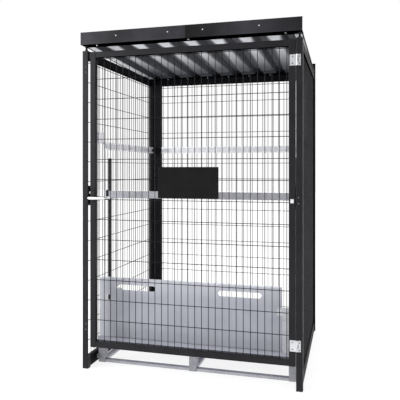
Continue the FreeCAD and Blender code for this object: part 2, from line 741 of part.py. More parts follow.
# Galvanised base: a folded deck on six tube legs, tied at the floor by flat runners.
deck_size = (f"2 * {BASE_SIDE}", f"{BASE_REAR} - {BASE_FRONT}", "deck_rise")
deck_blank = block("deck_blank", deck_size, (f"-{BASE_SIDE}", BASE_FRONT, DECK_UNDER))
hollow_size = (
    f"2 * {BASE_SIDE} - 2 * deck_sheet",
    f"{BASE_REAR} - {BASE_FRONT} - 2 * deck_sheet",
    "deck_rise - deck_sheet",
)
hollow_corner = (f"deck_sheet - {BASE_SIDE}", f"{BASE_FRONT} + deck_sheet", DECK_UNDER)
keep(cut("base_deck", deck_blank, block("deck_hollow", hollow_size, hollow_corner)))
leg_columns = {
    "left": f"-{BASE_SIDE}",
    "middle": "-leg_side / 2",
    "right": f"{BASE_SIDE} - leg_side",
}
leg_rows = {"front": BASE_FRONT, "rear": f"{BASE_REAR} - leg_side"}
legs = []
for column, leg_x in leg_columns.items():
    for line, leg_y in leg_rows.items():
        leg_size = ("leg_side", "leg_side", DECK_UNDER)
        leg_corner = (leg_x, leg_y, "0")
        legs.append(tube(f"leg_{column}_{line}", leg_size, leg_corner, "z", "leg_wall", rolled=False))
keep(set_of("base_legs", legs))
runner_rows = {
    "front": f"{BASE_FRONT} + leg_side / 2 - runner_width / 2",
    "rear": f"{BASE_REAR} - leg_side / 2 - runner_width / 2",
}
runners = []
for line, runner_y in runner_rows.items():
    for hand, runner_x in (("left", f"leg_side - {BASE_SIDE}"), ("right", "leg_side / 2")):
        runner_size = (f"{BASE_SIDE} - 1.5 * leg_side", "runner_width", "runner_rise")
        runner_corner = (runner_x, runner_y, "0")
        runners.append(tube(f"runner_{line}_{hand}", runner_size, runner_corner, "x", rolled=False))
keep(set_of("base_runners_cross", runners))
runners = []
for column, leg_x in leg_columns.items():
    runner_size = ("runner_width", f"{BASE_REAR} - {BASE_FRONT} - 2 * leg_side", "runner_rise")
    runner_corner = (f"{leg_x} + leg_side / 2 - runner_width / 2", f"{BASE_FRONT} + leg_side", "0")
    runners.append(tube(f"runner_deep_{column}", runner_size, runner_corner, "y", rolled=False))
keep(set_of("base_runners_deep", runners))

# Lugs from the outer legs to the bottom rails make the base one piece with the cage.
lug_length = f"({POST_MIDDLE} - rail_width / 2 - {BASE_SIDE})"
lugs = []
for hand, lug_x in (("left", f"-{BASE_SIDE} - {lug_length}"), ("right", BASE_SIDE)):
    for line, leg_y in leg_rows.items():
        lug_corner = (lug_x, f"{leg_y} + leg_side / 2 - lug_width / 2", "lug_height")
        lugs.append(block(f"lug_{hand}_{line}", (lug_length, "lug_width", "lug_rise"), lug_corner))
keep(set_of("base_lugs", lugs))

# Two uprights on the deck carry open cradles, and the retaining bar drops into them.
cradle_points = [
    ("0", "0"),
    ("cradle_sheet + bar_thick + 2 * bar_clearance", "0"),
    ("cradle_sheet + bar_thick + 2 * bar_clearance", "cradle_sheet"),
    ("cradle_sheet", "cradle_sheet"),
    ("cradle_sheet", "cradle_lip + cradle_sheet"),
    ("0", "cradle_lip + cradle_sheet"),
]
cradle_y = f"{UPRIGHT_FRONT} - cradle_sheet - bar_thick - 2 * bar_clearance"
cradles = []
for hand, upright_x in (
    ("left", f"upright_inset - {BASE_SIDE}"),
    ("right", f"{BASE_SIDE} - upright_inset - upright_width"),
):
    upright_size = ("upright_width", "upright_depth", "upright_top - base_height")
    upright_corner = (upright_x, UPRIGHT_FRONT, "base_height")
    keep(tube(f"rack_upright_{hand}", upright_size, upright_corner, "z", rolled=False))
    cradle_origin = (upright_x, cradle_y, "bar_height - cradle_sheet")
    cradles.append(profile(f"cradle_{hand}", cradle_points, "upright_width", CROSSWISE, cradle_origin))
keep(set_of("bar_cradles", cradles))
bar_corner = (f"-{BASE_SIDE}", f"{UPRIGHT_FRONT} - bar_clearance - bar_thick", "bar_height")
keep(tube("retaining_bar", (f"2 * {BASE_SIDE}", "bar_thick", "bar_rise"), bar_corner, "x"))

# Lift-out front panel: a folded sheet with two hand slots, a tie hole and a notch in its right edge.
panel_wide = f"(2 * {BASE_SIDE} - panel_left_gap - panel_right_gap)"
panel_high = "(panel_top - base_height)"
panel_x = f"panel_left_gap - {BASE_SIDE}"
panel_size = (panel_wide, "panel_rim", panel_high)
panel_blank = block("panel_blank", panel_size, (panel_x, PANEL_FRONT, "base_height"))
inside_size = (
    f"{panel_wide} - 2 * panel_sheet",
    "panel_rim - panel_sheet",
    f"{panel_high} - 2 * panel_sheet",
)
inside_corner = (f"{panel_x} + panel_sheet", f"{PANEL_FRONT} + panel_sheet", "base_height + panel_sheet")
openings = [block("panel_inside", inside_size, inside_corner)]
for hand, sign in (("left", "-1"), ("right", "1")):
    slot_middle = f"({PANEL_MIDDLE} + {sign} * ({panel_wide} / 2 - slot_inset))"
    straight = "(slot_length - slot_rise)"
    slot_corner = (f"{slot_middle} - {straight} / 2", PANEL_FRONT, "slot_height - slot_rise / 2")
    openings.append(block(f"slot_{hand}_middle", (straight, "panel_sheet", "slot_rise"), slot_corner))
    for end, way in (("start", "-"), ("end", "+")):
        end_start = (f"{slot_middle} {way} {straight} / 2", PANEL_FRONT, "slot_height")
        openings.append(rod(f"slot_{hand}_{end}", "slot_rise / 2", "panel_sheet", end_start, "y"))
hole_corner = (f"{panel_x} + tie_hole_inset - tie_hole_width / 2", PANEL_FRONT, "tie_hole_height")
openings.append(block("tie_hole", ("tie_hole_width", "panel_sheet", "tie_hole_rise"), hole_corner))
notch_corner = (f"{panel_x} + {panel_wide} - notch_width", PANEL_FRONT, "notch_height")
openings.append(block("edge_notch", ("notch_width", "panel_rim", "notch_rise"), notch_corner))
keep(cut("front_panel", panel_blank, joined("panel_openings", *openings)))

# Hooks on the back of the panel drop over two sockets that stand on the deck.
hook_points = [
    ("0", "hook_drop"),
    ("socket_setback + socket_thick - panel_sheet + hook_clearance", "hook_drop"),
    ("socket_setback + socket_thick - panel_sheet + hook_clearance", "0"),
    ("socket_setback + socket_thick - panel_sheet + hook_clearance + hook_sheet", "0"),
    ("socket_setback + socket_thick - panel_sheet + hook_clearance + hook_sheet", "hook_drop + hook_sheet"),
    ("0", "hook_drop + hook_sheet"),
]
sockets = []
hooks = []
for hand, sign in (("left", "-1"), ("right", "1")):
    socket_middle = f"({PANEL_MIDDLE} + {sign} * ({panel_wide} / 2 - socket_inset))"
    socket_size = ("socket_width", "socket_thick", "socket_top - base_height")
    socket_corner = (f"{socket_middle} - socket_width / 2", f"{PANEL_FRONT} + socket_setback", "base_height")
    sockets.append(block(f"socket_{hand}", socket_size, socket_corner))
    hook_origin = (
        f"{socket_middle} - hook_width / 2",
        f"{PANEL_FRONT} + panel_sheet",
        "socket_top + hook_clearance - hook_drop",
    )
    hooks.append(profile(f"hook_{hand}", hook_points, "hook_width", CROSSWISE, hook_origin))
keep(set_of("panel_sockets", sockets))
keep(set_of("panel_hooks", hooks))

doc.recompute()

# Every object has to be up to date and every sub-part sound before anything is written.
for item in doc.Objects:
    if "Invalid" in item.State or "Error" in item.State:
        raise RuntimeError(f"{item.Label} failed: {item.State}")
for item in nodes:
    if item.Shape.isNull() or not item.Shape.isValid() or not item.Shape.Solids:
        raise RuntimeError(f"{item.Label} has no sound solid")

os.makedirs("parts", exist_ok=True)
for item in nodes:
    item.Shape.exportStep(os.path.join("parts", f"{item.Label}.step"))
print(len(nodes), "sub-parts,", sum(len(item.Shape.Solids) for item in nodes), "solids")
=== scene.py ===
import math

import bmesh
import bpy
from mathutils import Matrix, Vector


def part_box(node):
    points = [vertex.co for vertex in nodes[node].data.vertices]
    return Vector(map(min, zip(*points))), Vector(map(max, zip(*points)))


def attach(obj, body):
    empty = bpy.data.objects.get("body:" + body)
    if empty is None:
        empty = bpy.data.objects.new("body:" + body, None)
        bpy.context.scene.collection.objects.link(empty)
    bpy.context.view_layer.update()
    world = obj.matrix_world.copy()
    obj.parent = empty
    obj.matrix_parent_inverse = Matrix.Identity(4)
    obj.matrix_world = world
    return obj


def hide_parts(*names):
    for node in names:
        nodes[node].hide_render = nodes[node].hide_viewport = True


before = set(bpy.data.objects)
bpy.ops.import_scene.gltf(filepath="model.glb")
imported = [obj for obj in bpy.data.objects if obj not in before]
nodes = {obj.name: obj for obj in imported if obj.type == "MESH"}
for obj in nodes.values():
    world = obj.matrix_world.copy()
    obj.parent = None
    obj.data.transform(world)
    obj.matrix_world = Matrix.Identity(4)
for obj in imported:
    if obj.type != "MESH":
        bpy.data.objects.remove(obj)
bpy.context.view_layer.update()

# The base is a galvanised pallet inside the cage: a deck folded from sheet on six square-tube legs,
# with flat tubes between their feet and lugs to the bottom rails. It is welded, then dipped in zinc.
LEG_SIDE = 0.055
RUNNER_WIDTH = 0.040
ZINC_DULL = (0.38, 0.382, 0.42)
ZINC_PALE = (0.50, 0.502, 0.545)
SPANGLE = 0.3
CRYSTAL_SCALE = 95.0
WEATHER_SCALE = 7.0
ZINC_ROUGH = (0.54, 0.40)
ZINC_METAL = 0.45
ZINC_GRAIN = 320.0
ZINC_GRAIN_DEPTH = 0.00015
PATTERN_MIDDLE = (0.3, 0.7)
MIX_UNDER, MIX_OVER, MIX_RESULT = 6, 7, 2
DRAW_LEAST, DRAW_MOST, DRAW_RESULT = 2, 3, 1
DECK_DULL = (0.28, 0.282, 0.312)
DECK_PALE = (0.36, 0.362, 0.395)
RIM_TURN = (0.7, 0.3)
RIM_LIFT = (1.18, 1.20, 1.27, 1.0)
BEAD_SWELL = (0.8, 1.1)


def add(tree, kind, inputs=None, **settings):
    """Add a node to a tree, with its settings, and link or set its inputs."""
    node = tree.nodes.new(kind)
    for key, value in settings.items():
        setattr(node, key, value)
    for key, value in (inputs or {}).items():
        if isinstance(value, bpy.types.NodeSocket):
            tree.links.new(value, node.inputs[key])
        else:
            node.inputs[key].default_value = value
    return node


def start_finish(name):
    """A node material, its shader, and the place on the piece that its patterns read."""
    finish = bpy.data.materials.new(name)
    finish.use_nodes = True
    tree = finish.node_tree
    shader = tree.nodes["Principled BSDF"]
    place = add(tree, "ShaderNodeTexCoord").outputs["Object"]
    return finish, tree, shader, place


def cloud(tree, place, scale, detail=3.0):
    """A soft uneven pattern, from 0 to 1."""
    return add(tree, "ShaderNodeTexNoise", {"Vector": place, "Scale": scale, "Detail": detail}).outputs["Fac"]


def ranged(tree, value, limits, low=0.0, high=1.0, curve="LINEAR"):
    """Spread a value between its limits from low to high, and hold it beyond them."""
    inputs = {"Value": value, "From Min": limits[0], "From Max": limits[1], "To Min": low, "To Max": high}
    return add(tree, "ShaderNodeMapRange", inputs, interpolation_type=curve).outputs["Result"]


def colours(tree, pattern, dark, pale):
    """Spread the middle of a pattern between two colours."""
    ramp = add(tree, "ShaderNodeValToRGB", {"Fac": pattern})
    for stop, position, colour in zip(ramp.color_ramp.elements, PATTERN_MIDDLE, (dark, pale)):
        stop.position = position
        stop.color = (*colour, 1.0)
    return ramp.outputs["Color"]


def blended(tree, share, under, over, mode="MIX"):
    """Lay one colour over another by a share, through the colour sockets of the Mix node."""
    inputs = {"Factor": share, MIX_UNDER: under, MIX_OVER: over}
    return add(tree, "ShaderNodeMix", inputs, data_type="RGBA", blend_type=mode).outputs[MIX_RESULT]


def upward(tree):
    """How far a face looks up, from -1 to 1."""
    facing = add(tree, "ShaderNodeNewGeometry").outputs["True Normal"]
    return add(tree, "ShaderNodeSeparateXYZ", {"Vector": facing}).outputs["Z"]


def relief(tree, shader, pattern, depth):
    """Raise a pattern on the surface by a small depth in metres."""
    bump = add(tree, "ShaderNodeBump", {"Height": pattern, "Distance": depth, "Strength": 1.0})
    tree.links.new(bump.outputs["Normal"], shader.inputs["Normal"])


def galvanised_steel(name, dark, pale, spangle):
    """Dipped zinc: crystals of different greys, dulled in soft patches."""
    finish, tree, shader, place = start_finish(name)
    crystal = add(tree, "ShaderNodeTexVoronoi", {"Vector": place, "Scale": CRYSTAL_SCALE}).outputs["Color"]
    crystal = add(tree, "ShaderNodeSeparateColor", {"Color": crystal}).outputs["Red"]
    weather = cloud(tree, place, WEATHER_SCALE)
    both = add(tree, "ShaderNodeMix", {"Factor": spangle, "A": weather, "B": crystal}).outputs["Result"]
    tree.links.new(colours(tree, both, dark, pale), shader.inputs["Base Color"])
    tree.links.new(ranged(tree, both, PATTERN_MIDDLE, *ZINC_ROUGH), shader.inputs["Roughness"])
    shader.inputs["Metallic"].default_value = ZINC_METAL
    relief(tree, shader, cloud(tree, place, ZINC_GRAIN), ZINC_GRAIN_DEPTH)
    return finish


def deck_darker_on_top(name):
    """Dipped sheet, darker on faces that look up than on its folded rim."""
    finish = galvanised_steel(name, DECK_DULL, DECK_PALE, SPANGLE)
    tree = finish.node_tree
    base = tree.nodes["Principled BSDF"].inputs["Base Color"]
    # Faces that look up keep the darker tone; the rest of the sheet is lifted paler.
    on_rim = ranged(tree, upward(tree), RIM_TURN)
    lifted = blended(tree, on_rim, base.links[0].from_socket, RIM_LIFT, "MULTIPLY")
    tree.links.new(lifted, base)
    return finish


def coat(finish, *names):
    """Give one finish to nodes of the frame."""
    for name in names:
        nodes[name].data.materials.clear()
        nodes[name].data.materials.append(finish)


def start_tree(name, **inputs):
    """A Geometry Nodes tree with named inputs; gives the tree and its input sockets."""
    tree = bpy.data.node_groups.new(name, "GeometryNodeTree")
    tree.interface.new_socket("Geometry", in_out="INPUT", socket_type="NodeSocketGeometry")
    for label, kind in inputs.items():
        tree.interface.new_socket(label, in_out="INPUT", socket_type=f"NodeSocket{kind}")
    tree.interface.new_socket("Geometry", in_out="OUTPUT", socket_type="NodeSocketGeometry")
    return tree, add(tree, "NodeGroupInput").outputs


def drawn_number(tree, least, most, seed):
    """A number drawn at random for each point, through the number sockets of the Random Value node."""
    inputs = {DRAW_LEAST: least, DRAW_MOST: most, "Seed": seed}
    return add(tree, "FunctionNodeRandomValue", inputs, data_type="FLOAT").outputs[DRAW_RESULT]


def end_tree(tree, shape, finish):
    """Close a tree: real geometry in one finish."""
    real = add(tree, "GeometryNodeRealizeInstances", {"Geometry": shape}).outputs["Geometry"]
    dressed = add(tree, "GeometryNodeSetMaterial", {"Geometry": real, "Material": finish})
    add(tree, "NodeGroupOutput", {"Geometry": dressed.outputs["Geometry"]})


def grow(name, tree, seed_mesh, body, slot, **values):
    """Run a tree over a mesh and keep the result as a plain piece of one body."""
    piece = bpy.data.objects.new(name, seed_mesh)
    bpy.context.scene.collection.objects.link(piece)
    modifier = piece.modifiers.new("shape", "NODES")
    modifier.node_group = tree
    for item in tree.interface.items_tree:
        if item.in_out == "INPUT" and item.name in values:
            modifier[item.identifier] = values[item.name]
    shown = piece.evaluated_get(bpy.context.evaluated_depsgraph_get())
    plain = bpy.data.meshes.new_from_object(shown)
    piece.modifiers.clear()
    piece.data = plain
    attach(piece, body)
    return piece


def lines(name, paths):
    """A mesh of edges along paths of points."""
    points = [point for path in paths for point in path]
    edges = []
    start = 0
    for path in paths:
        edges += [(start + step, start + step + 1) for step in range(len(path) - 1)]
        start += len(path)
    mesh = bpy.data.meshes.new(name)
    mesh.from_pydata(points, edges, [])
    return mesh


weld_run, given = start_tree("weld_run", Bead="Float", Step="Float", Finish="Material")
seam = add(weld_run, "GeometryNodeMeshToCurve", {"Mesh": given["Geometry"]}).outputs["Curve"]
seam = add(weld_run, "GeometryNodeResampleCurve", {"Curve": seam, "Length": given["Step"]}, mode="LENGTH")
bead = add(weld_run, "GeometryNodeMeshUVSphere", {"Segments": 6, "Rings": 4, "Radius": given["Bead"]})
tangent = add(weld_run, "GeometryNodeInputTangent").outputs["Tangent"]
heading = add(weld_run, "FunctionNodeAlignRotationToVector", {"Vector": tangent}, axis="X")
beads = add(
    weld_run,
    "GeometryNodeInstanceOnPoints",
    {
        "Points": seam.outputs["Curve"],
        "Instance": bead.outputs["Mesh"],
        "Rotation": heading.outputs["Rotation"],
        "Scale": drawn_number(weld_run, *BEAD_SWELL, seed=4),
    },
)
smooth = add(weld_run, "GeometryNodeSetShadeSmooth", {"Geometry": beads.outputs["Instances"]})
end_tree(weld_run, smooth.outputs["Geometry"], given["Finish"])


def weld(name, paths, body, slot, finish, bead_size, step):
    """Lay a run of weld along paths, as one piece of a body."""
    seams = lines(f"{name}_lines", paths)
    grow(name, weld_run, seams, body, slot, Bead=bead_size, Step=step, Finish=finish)


galvanised = galvanised_steel("galvanised_base", ZINC_DULL, ZINC_PALE, SPANGLE)
coat(galvanised, "base_runners_cross", "base_runners_deep", "base_lugs")
coat(deck_darker_on_top("galvanised_deck"), "base_deck")
coat(galvanised_steel("galvanised_legs", DECK_DULL, DECK_PALE, SPANGLE), "base_legs")
deck_low, deck_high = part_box("base_deck")
half_leg = LEG_SIDE / 2
half_runner = RUNNER_WIDTH / 2
runner_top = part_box("base_runners_deep")[1][2]
leg_columns = (deck_low[0] + half_leg, 0.0, deck_high[0] - half_leg)
leg_rows = (deck_low[1] + half_leg, deck_high[1] - half_leg)
base_seams = []
for leg_x in leg_columns:
    for leg_y in leg_rows:
        left, right = leg_x - half_leg, leg_x + half_leg
        near, far = leg_y - half_leg, leg_y + half_leg
        corners = [(left, near), (right, near), (right, far), (left, far), (left, near)]
        base_seams.append([(x, y, deck_low[2]) for x, y in corners])
        inward = far if leg_y < 0 else near
        ends = (leg_x - half_runner, leg_x + half_runner)
        base_seams.append([(end, inward, runner_top) for end in ends])
        for side in (left, right):
            if deck_low[0] + half_leg < side < deck_high[0] - half_leg:
                ends = (leg_y - half_runner, leg_y + half_runner)
                base_seams.append([(side, end, runner_top) for end in ends])
weld("base_welds", base_seams, "frame", "galvanised", galvanised, bead_size=0.0026, step=0.0034)

# Four corner posts of square section, powder coated black, stand on pressed-in plastic feet and are
# closed by plastic caps. The front two are folded sheet, open to the inside except where a rail or the
# strike meets them. Small zinc screws on their front faces hold fittings inside them.
COAT_DARK = (0.0085, 0.0082, 0.0105)
COAT_PALE = (0.0140, 0.0136, 0.0165)
COAT_ROUGH = (0.40, 0.52)
COAT_SHEEN = 0.22
COAT_PATCHES = 9.0
COAT_CLOUDS = 28.0
COAT_PEEL = 650.0
COAT_PEEL_DEPTH = 0.00012
# Painted shade: between these limits of facing, the coat turns dark and loses its sheen on faces that look
# down.
COAT_UNDERSIDE_SHADE = (-0.9, -0.4)
# A darker, less shiny copy of the same black coat: painted shade on the rear posts, rear stiles, rails and
# rear fascias.
SHADED_COAT_DARK = (0.0030, 0.0030, 0.0042)
SHADED_COAT_PALE = (0.0060, 0.0060, 0.0080)
SHADED_COAT_ROUGH = (0.50, 0.62)
SHADED_COAT_SHEEN = 0.07
PLASTIC_DARK = (0.012, 0.012, 0.013)
PLASTIC_PALE = (0.024, 0.024, 0.025)
PLASTIC_ROUGH = (0.5, 0.64)
PLASTIC_PATCHES = 40.0
PLASTIC_CLOUDS = 120.0
PLASTIC_GRAIN = 1400.0
PLASTIC_GRAIN_DEPTH = 0.0001
BRIGHT_DULL = (0.84, 0.85, 0.86)
BRIGHT_PALE = (0.94, 0.945, 0.95)
SCREW_DULL = (0.17, 0.17, 0.18)
SCREW_PALE = (0.25, 0.25, 0.265)
PLATE_ROUGH = (0.26, 0.40)
PLATE_METAL = 0.55
PLATE_PATCHES = 45.0
DRAWN_LINES = (900.0, 60.0, 60.0)
DRAWN_DEPTH = 0.00003
WASHER_SIDES = 20
WASHER_TAPER = 0.9
HEAD_TAPER = 0.86
DRIVE_SINK = -0.55
ROUND_HEAD = 18
POST_SCREWS_LEFT = (2.258, 2.221, 0.336, 0.294)
POST_SCREWS_RIGHT = (1.304, 1.263)
POST_SCREW_OFFSET = 0.006
POST_SHEET = 0.003
POST_ROUND = 0.004
POST_ROUND_STEPS = 5
STRIKE_SEAT = 0.010
FORWARD = (0.0, -1.0, 0.0)


def sums(tree, operation, first, second):
    """One sum inside a tree."""
    return add(tree, "ShaderNodeMath", {0: first, 1: second}, operation=operation).outputs[0]


def powder_coat(name, dark, pale, rough, sheen):
    """Baked powder: an orange-peel skin with faint cloudy patches, and painted shade where it faces down,
    dark and without sheen there.
    """
    finish, tree, shader, place = start_finish(name)
    # Painted shade: the share of colour and sheen kept, none on faces that look down.
    unshaded_share = ranged(tree, upward(tree), COAT_UNDERSIDE_SHADE)
    patches = colours(tree, cloud(tree, place, COAT_PATCHES), dark, pale)
    laid = add(tree, "ShaderNodeVectorMath", {0: patches, "Scale": unshaded_share}, operation="SCALE")
    tree.links.new(laid.outputs["Vector"], shader.inputs["Base Color"])
    roughness = ranged(tree, cloud(tree, place, COAT_CLOUDS), PATTERN_MIDDLE, *rough)
    tree.links.new(roughness, shader.inputs["Roughness"])
    tree.links.new(sums(tree, "MULTIPLY", unshaded_share, sheen), shader.inputs["Specular IOR Level"])
    relief(tree, shader, cloud(tree, place, COAT_PEEL, detail=2.0), COAT_PEEL_DEPTH)
    return finish


def moulded_plastic(name, dark, pale):
    """Moulded plastic with a fine spark-eroded grain."""
    finish, tree, shader, place = start_finish(name)
    patches = cloud(tree, place, PLASTIC_PATCHES)
    tree.links.new(colours(tree, patches, dark, pale), shader.inputs["Base Color"])
    roughness = ranged(tree, cloud(tree, place, PLASTIC_CLOUDS), PATTERN_MIDDLE, *PLASTIC_ROUGH)
    tree.links.new(roughness, shader.inputs["Roughness"])
    relief(tree, shader, cloud(tree, place, PLASTIC_GRAIN, detail=1.0), PLASTIC_GRAIN_DEPTH)
    return finish


def bright_zinc_plate(name, dark, pale):
    """Plated steel: pale and smooth, with fine drawn lines and a little clouding."""
    finish, tree, shader, place = start_finish(name)
    drawn = add(tree, "ShaderNodeMapping", {"Vector": place, "Scale": DRAWN_LINES}).outputs["Vector"]
    grain = cloud(tree, drawn, scale=1.0, detail=2.0)
    patches = cloud(tree, place, PLATE_PATCHES)
    tree.links.new(colours(tree, patches, dark, pale), shader.inputs["Base Color"])
    tree.links.new(ranged(tree, grain, PATTERN_MIDDLE, *PLATE_ROUGH), shader.inputs["Roughness"])
    shader.inputs["Metallic"].default_value = PLATE_METAL
    relief(tree, shader, grain, DRAWN_DEPTH)
    return finish


fixings, given = start_tree(
    "fixings",
    Sides="Int",
    Head="Float",
    Height="Float",
    Washer="Float",
    Thickness="Float",
    Drive="Float",
    Finish="Material",
)
washer = add(
    fixings,
    "GeometryNodeMeshCone",
    {
        "Vertices": WASHER_SIDES,
        "Radius Top": sums(fixings, "MULTIPLY", given["Washer"], WASHER_TAPER),
        "Radius Bottom": given["Washer"],
        "Depth": given["Thickness"],
    },
)
head = add(
    fixings,
    "GeometryNodeMeshCone",
    {
        "Vertices": given["Sides"],
        "Radius Top": sums(fixings, "MULTIPLY", given["Head"], HEAD_TAPER),
        "Radius Bottom": given["Head"],
        "Depth": given["Height"],
    },
)
lip = add(
    fixings,
    "GeometryNodeExtrudeMesh",
    {"Mesh": head.outputs["Mesh"], "Selection": head.outputs["Top"], "Offset Scale": 0.0},
    mode="FACES",
)
inset = add(
    fixings,
    "GeometryNodeScaleElements",
    {"Geometry": lip.outputs["Mesh"], "Selection": lip.outputs["Top"], "Scale": given["Drive"]},
)
drive = add(
    fixings,
    "GeometryNodeExtrudeMesh",
    {
        "Mesh": inset.outputs["Geometry"],
        "Selection": lip.outputs["Top"],
        "Offset Scale": sums(fixings, "MULTIPLY", given["Height"], DRIVE_SINK),
    },
    mode="FACES",
)
lift = add(fixings, "ShaderNodeCombineXYZ", {"Z": given["Thickness"]}).outputs["Vector"]
raised = add(fixings, "GeometryNodeTransform", {"Geometry": drive.outputs["Mesh"], "Translation": lift})
screw = add(fixings, "GeometryNodeJoinGeometry", {"Geometry": washer.outputs["Mesh"]})
fixings.links.new(raised.outputs["Geometry"], screw.inputs["Geometry"])
facing = add(fixings, "GeometryNodeInputNamedAttribute", {"Name": "facing"}, data_type="FLOAT_VECTOR")
heading = add(fixings, "FunctionNodeAlignRotationToVector", {"Vector": facing.outputs["Attribute"]}, axis="Z")
turn = drawn_number(fixings, 0.0, math.pi, seed=7)
spin = add(fixings, "FunctionNodeAxisAngleToRotation", {"Axis": (0.0, 0.0, 1.0), "Angle": turn})
driven = add(
    fixings,
    "FunctionNodeRotateRotation",
    {"Rotation": heading.outputs["Rotation"], "Rotate By": spin.outputs["Rotation"]},
    rotation_space="LOCAL",
)
screws = add(
    fixings,
    "GeometryNodeInstanceOnPoints",
    {
        "Points": given["Geometry"],
        "Instance": screw.outputs["Geometry"],
        "Rotation": driven.outputs["Rotation"],
    },
)
end_tree(fixings, screws.outputs["Instances"], given["Finish"])


def fasten(name, places, body, slot, finish, **sizes):
    """Set a fixing at each place, facing its own way, as one piece of a body."""
    spots = bpy.data.meshes.new(f"{name}_spots")
    spots.from_pydata([place for place, way in places], [], [])
    facing_way = spots.attributes.new("facing", "FLOAT_VECTOR", "POINT")
    for item, (place, way) in zip(facing_way.data, places):
        item.vector = way
    grow(name, fixings, spots, body, slot, Finish=finish, **sizes)


def settle(name, mesh, body):
    """Put a finished mesh into the scene as a piece of one body."""
    piece = bpy.data.objects.new(name, mesh)
    bpy.context.scene.collection.objects.link(piece)
    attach(piece, body)
    return piece


def quarter(middle, start):
    """A post's rounded corner in plan, from a start angle in quarter turns."""
    shares = [start + step / POST_ROUND_STEPS for step in range(POST_ROUND_STEPS + 1)]
    angles = [share * math.pi / 2 for share in shares]
    arc = [(POST_ROUND * math.cos(angle), POST_ROUND * math.sin(angle)) for angle in angles]
    return [(middle[0] + x, middle[1] + y) for x, y in arc]


def bars(name, lengths, finish):
    """A mesh of upright bars, each from its outline in plan and its two heights."""
    shell = bmesh.new()
    for outline, bottom, top in lengths:
        foot = [shell.verts.new((x, y, bottom)) for x, y in outline]
        head_ring = [shell.verts.new((x, y, top)) for x, y in outline]
        shell.faces.new(foot)
        shell.faces.new(head_ring)
        for step in range(len(outline)):
            following = (step + 1) % len(outline)
            shell.faces.new((foot[step], foot[following], head_ring[following], head_ring[step]))
    bmesh.ops.recalc_face_normals(shell, faces=shell.faces)
    mesh = bpy.data.meshes.new(name)
    shell.to_mesh(mesh)
    shell.free()
    mesh.materials.append(finish)
    return mesh


def cut_out(name, block, waste):
    """What is left of one mesh when another is cut out of it."""
    left_over = bpy.data.objects.new(name, block)
    cutter = bpy.data.objects.new(f"{name}_cutter", waste)
    for item in (left_over, cutter):
        bpy.context.scene.collection.objects.link(item)
    cut = left_over.modifiers.new("cut", "BOOLEAN")
    cut.operation = "DIFFERENCE"
    cut.solver = "EXACT"
    cut.object = cutter
    shown = left_over.evaluated_get(bpy.context.evaluated_depsgraph_get())
    mesh = bpy.data.meshes.new_from_object(shown)
    for item in (left_over, cutter):
        bpy.data.objects.remove(item)
    return mesh


def front_post(side, finish):
    """A front post: an open fold of sheet, boxed in at the rails and at the height of the strike."""
    low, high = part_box(f"post_front_{side}")
    outer, inner = (low[0], high[0]) if side == "left" else (-high[0], -low[0])
    near, far = low[1], high[1]
    boxed = quarter((outer + POST_ROUND, near + POST_ROUND), 2)
    boxed += quarter((inner - POST_ROUND, near + POST_ROUND), 3)
    boxed += quarter((inner - POST_ROUND, far - POST_ROUND), 0)
    boxed += quarter((outer + POST_ROUND, far - POST_ROUND), 1)
    sheet_x, sheet_y = outer + POST_SHEET, near + POST_SHEET
    clear_x, clear_y = inner + POST_SHEET, far + POST_SHEET
    opening = [(sheet_x, sheet_y), (clear_x, sheet_y), (clear_x, clear_y), (sheet_x, clear_y)]
    if side == "right":
        boxed = [(-x, y) for x, y in boxed]
        opening = [(-x, y) for x, y in opening]
    strike_low, strike_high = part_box("strike_plate")
    openings = (
        (opening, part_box("side_bottom_rail_left")[1][2], strike_low[2] - STRIKE_SEAT),
        (opening, strike_high[2] + STRIKE_SEAT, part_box("side_top_rail_left")[0][2]),
    )
    block = bars(f"front_post_{side}_block", [(boxed, low[2], high[2])], finish)
    waste = bars(f"front_post_{side}_waste", openings, finish)
    mesh = cut_out(f"front_post_{side}_shape", block, waste)
    piece = settle(f"front_post_{side}", mesh, "frame")
    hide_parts(f"post_front_{side}")


frame_coat = powder_coat("frame_black_coat", COAT_DARK, COAT_PALE, COAT_ROUGH, COAT_SHEEN)
shaded_frame_coat = powder_coat("rear_black_coat", SHADED_COAT_DARK, SHADED_COAT_PALE, SHADED_COAT_ROUGH, SHADED_COAT_SHEEN)
plastic = moulded_plastic("black_plastic_plugs", PLASTIC_DARK, PLASTIC_PALE)
zinc = bright_zinc_plate("bright_zinc_plate", BRIGHT_DULL, BRIGHT_PALE)
dull_zinc = bright_zinc_plate("dull_zinc_screws", SCREW_DULL, SCREW_PALE)
front_post("left", frame_coat)
front_post("right", frame_coat)
# The rear posts take the darker copy of the coat: painted shade.
coat(shaded_frame_coat, "post_rear_left", "post_rear_right")
coat(plastic, "post_feet", "post_caps")
post_places = []
for side, sign, heights in (("left", 1, POST_SCREWS_LEFT), ("right", -1, POST_SCREWS_RIGHT)):
    post_low, post_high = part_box(f"post_front_{side}")
    across = (post_low[0] + post_high[0]) / 2 + sign * POST_SCREW_OFFSET
    post_places += [((across, post_low[1], height), FORWARD) for height in heights]
fasten(
    "post_screws",
    post_places,
    "frame",
    "bright_zinc",
    dull_zinc,
    Sides=ROUND_HEAD,
    Head=0.0036,
    Height=0.0020,
    Washer=0.0044,
    Thickness=0.0006,
    Drive=0.5,
)

# Rails of flat rectangular tube join the posts at the floor and at the top of the two sides and the
# rear, and wide stiles close the rear wall beside its posts. All are welded round before coating.
RAILS = (
    "side_bottom_rail_left",
    "side_bottom_rail_right",
    "side_top_rail_left",
    "side_top_rail_right",
    "rear_bottom_rail",
    "rear_top_rail",
)
REAR_STILE_WIDTH = 0.080


def end_loops(low, high, along):
    """The outlines of both ends of a straight bar, as closed paths."""
    first, second = [axis for axis in range(3) if axis != along]
    corners = ((0, 0), (1, 0), (1, 1), (0, 1), (0, 0))
    loops = []
    for end in (low[along], high[along]):
        loop = []
        for a, b in corners:
            point = [0.0, 0.0, 0.0]
            point[along] = end
            point[first] = (low, high)[a][first]
            point[second] = (low, high)[b][second]
            loop.append(tuple(point))
        loops.append(loop)
    return loops
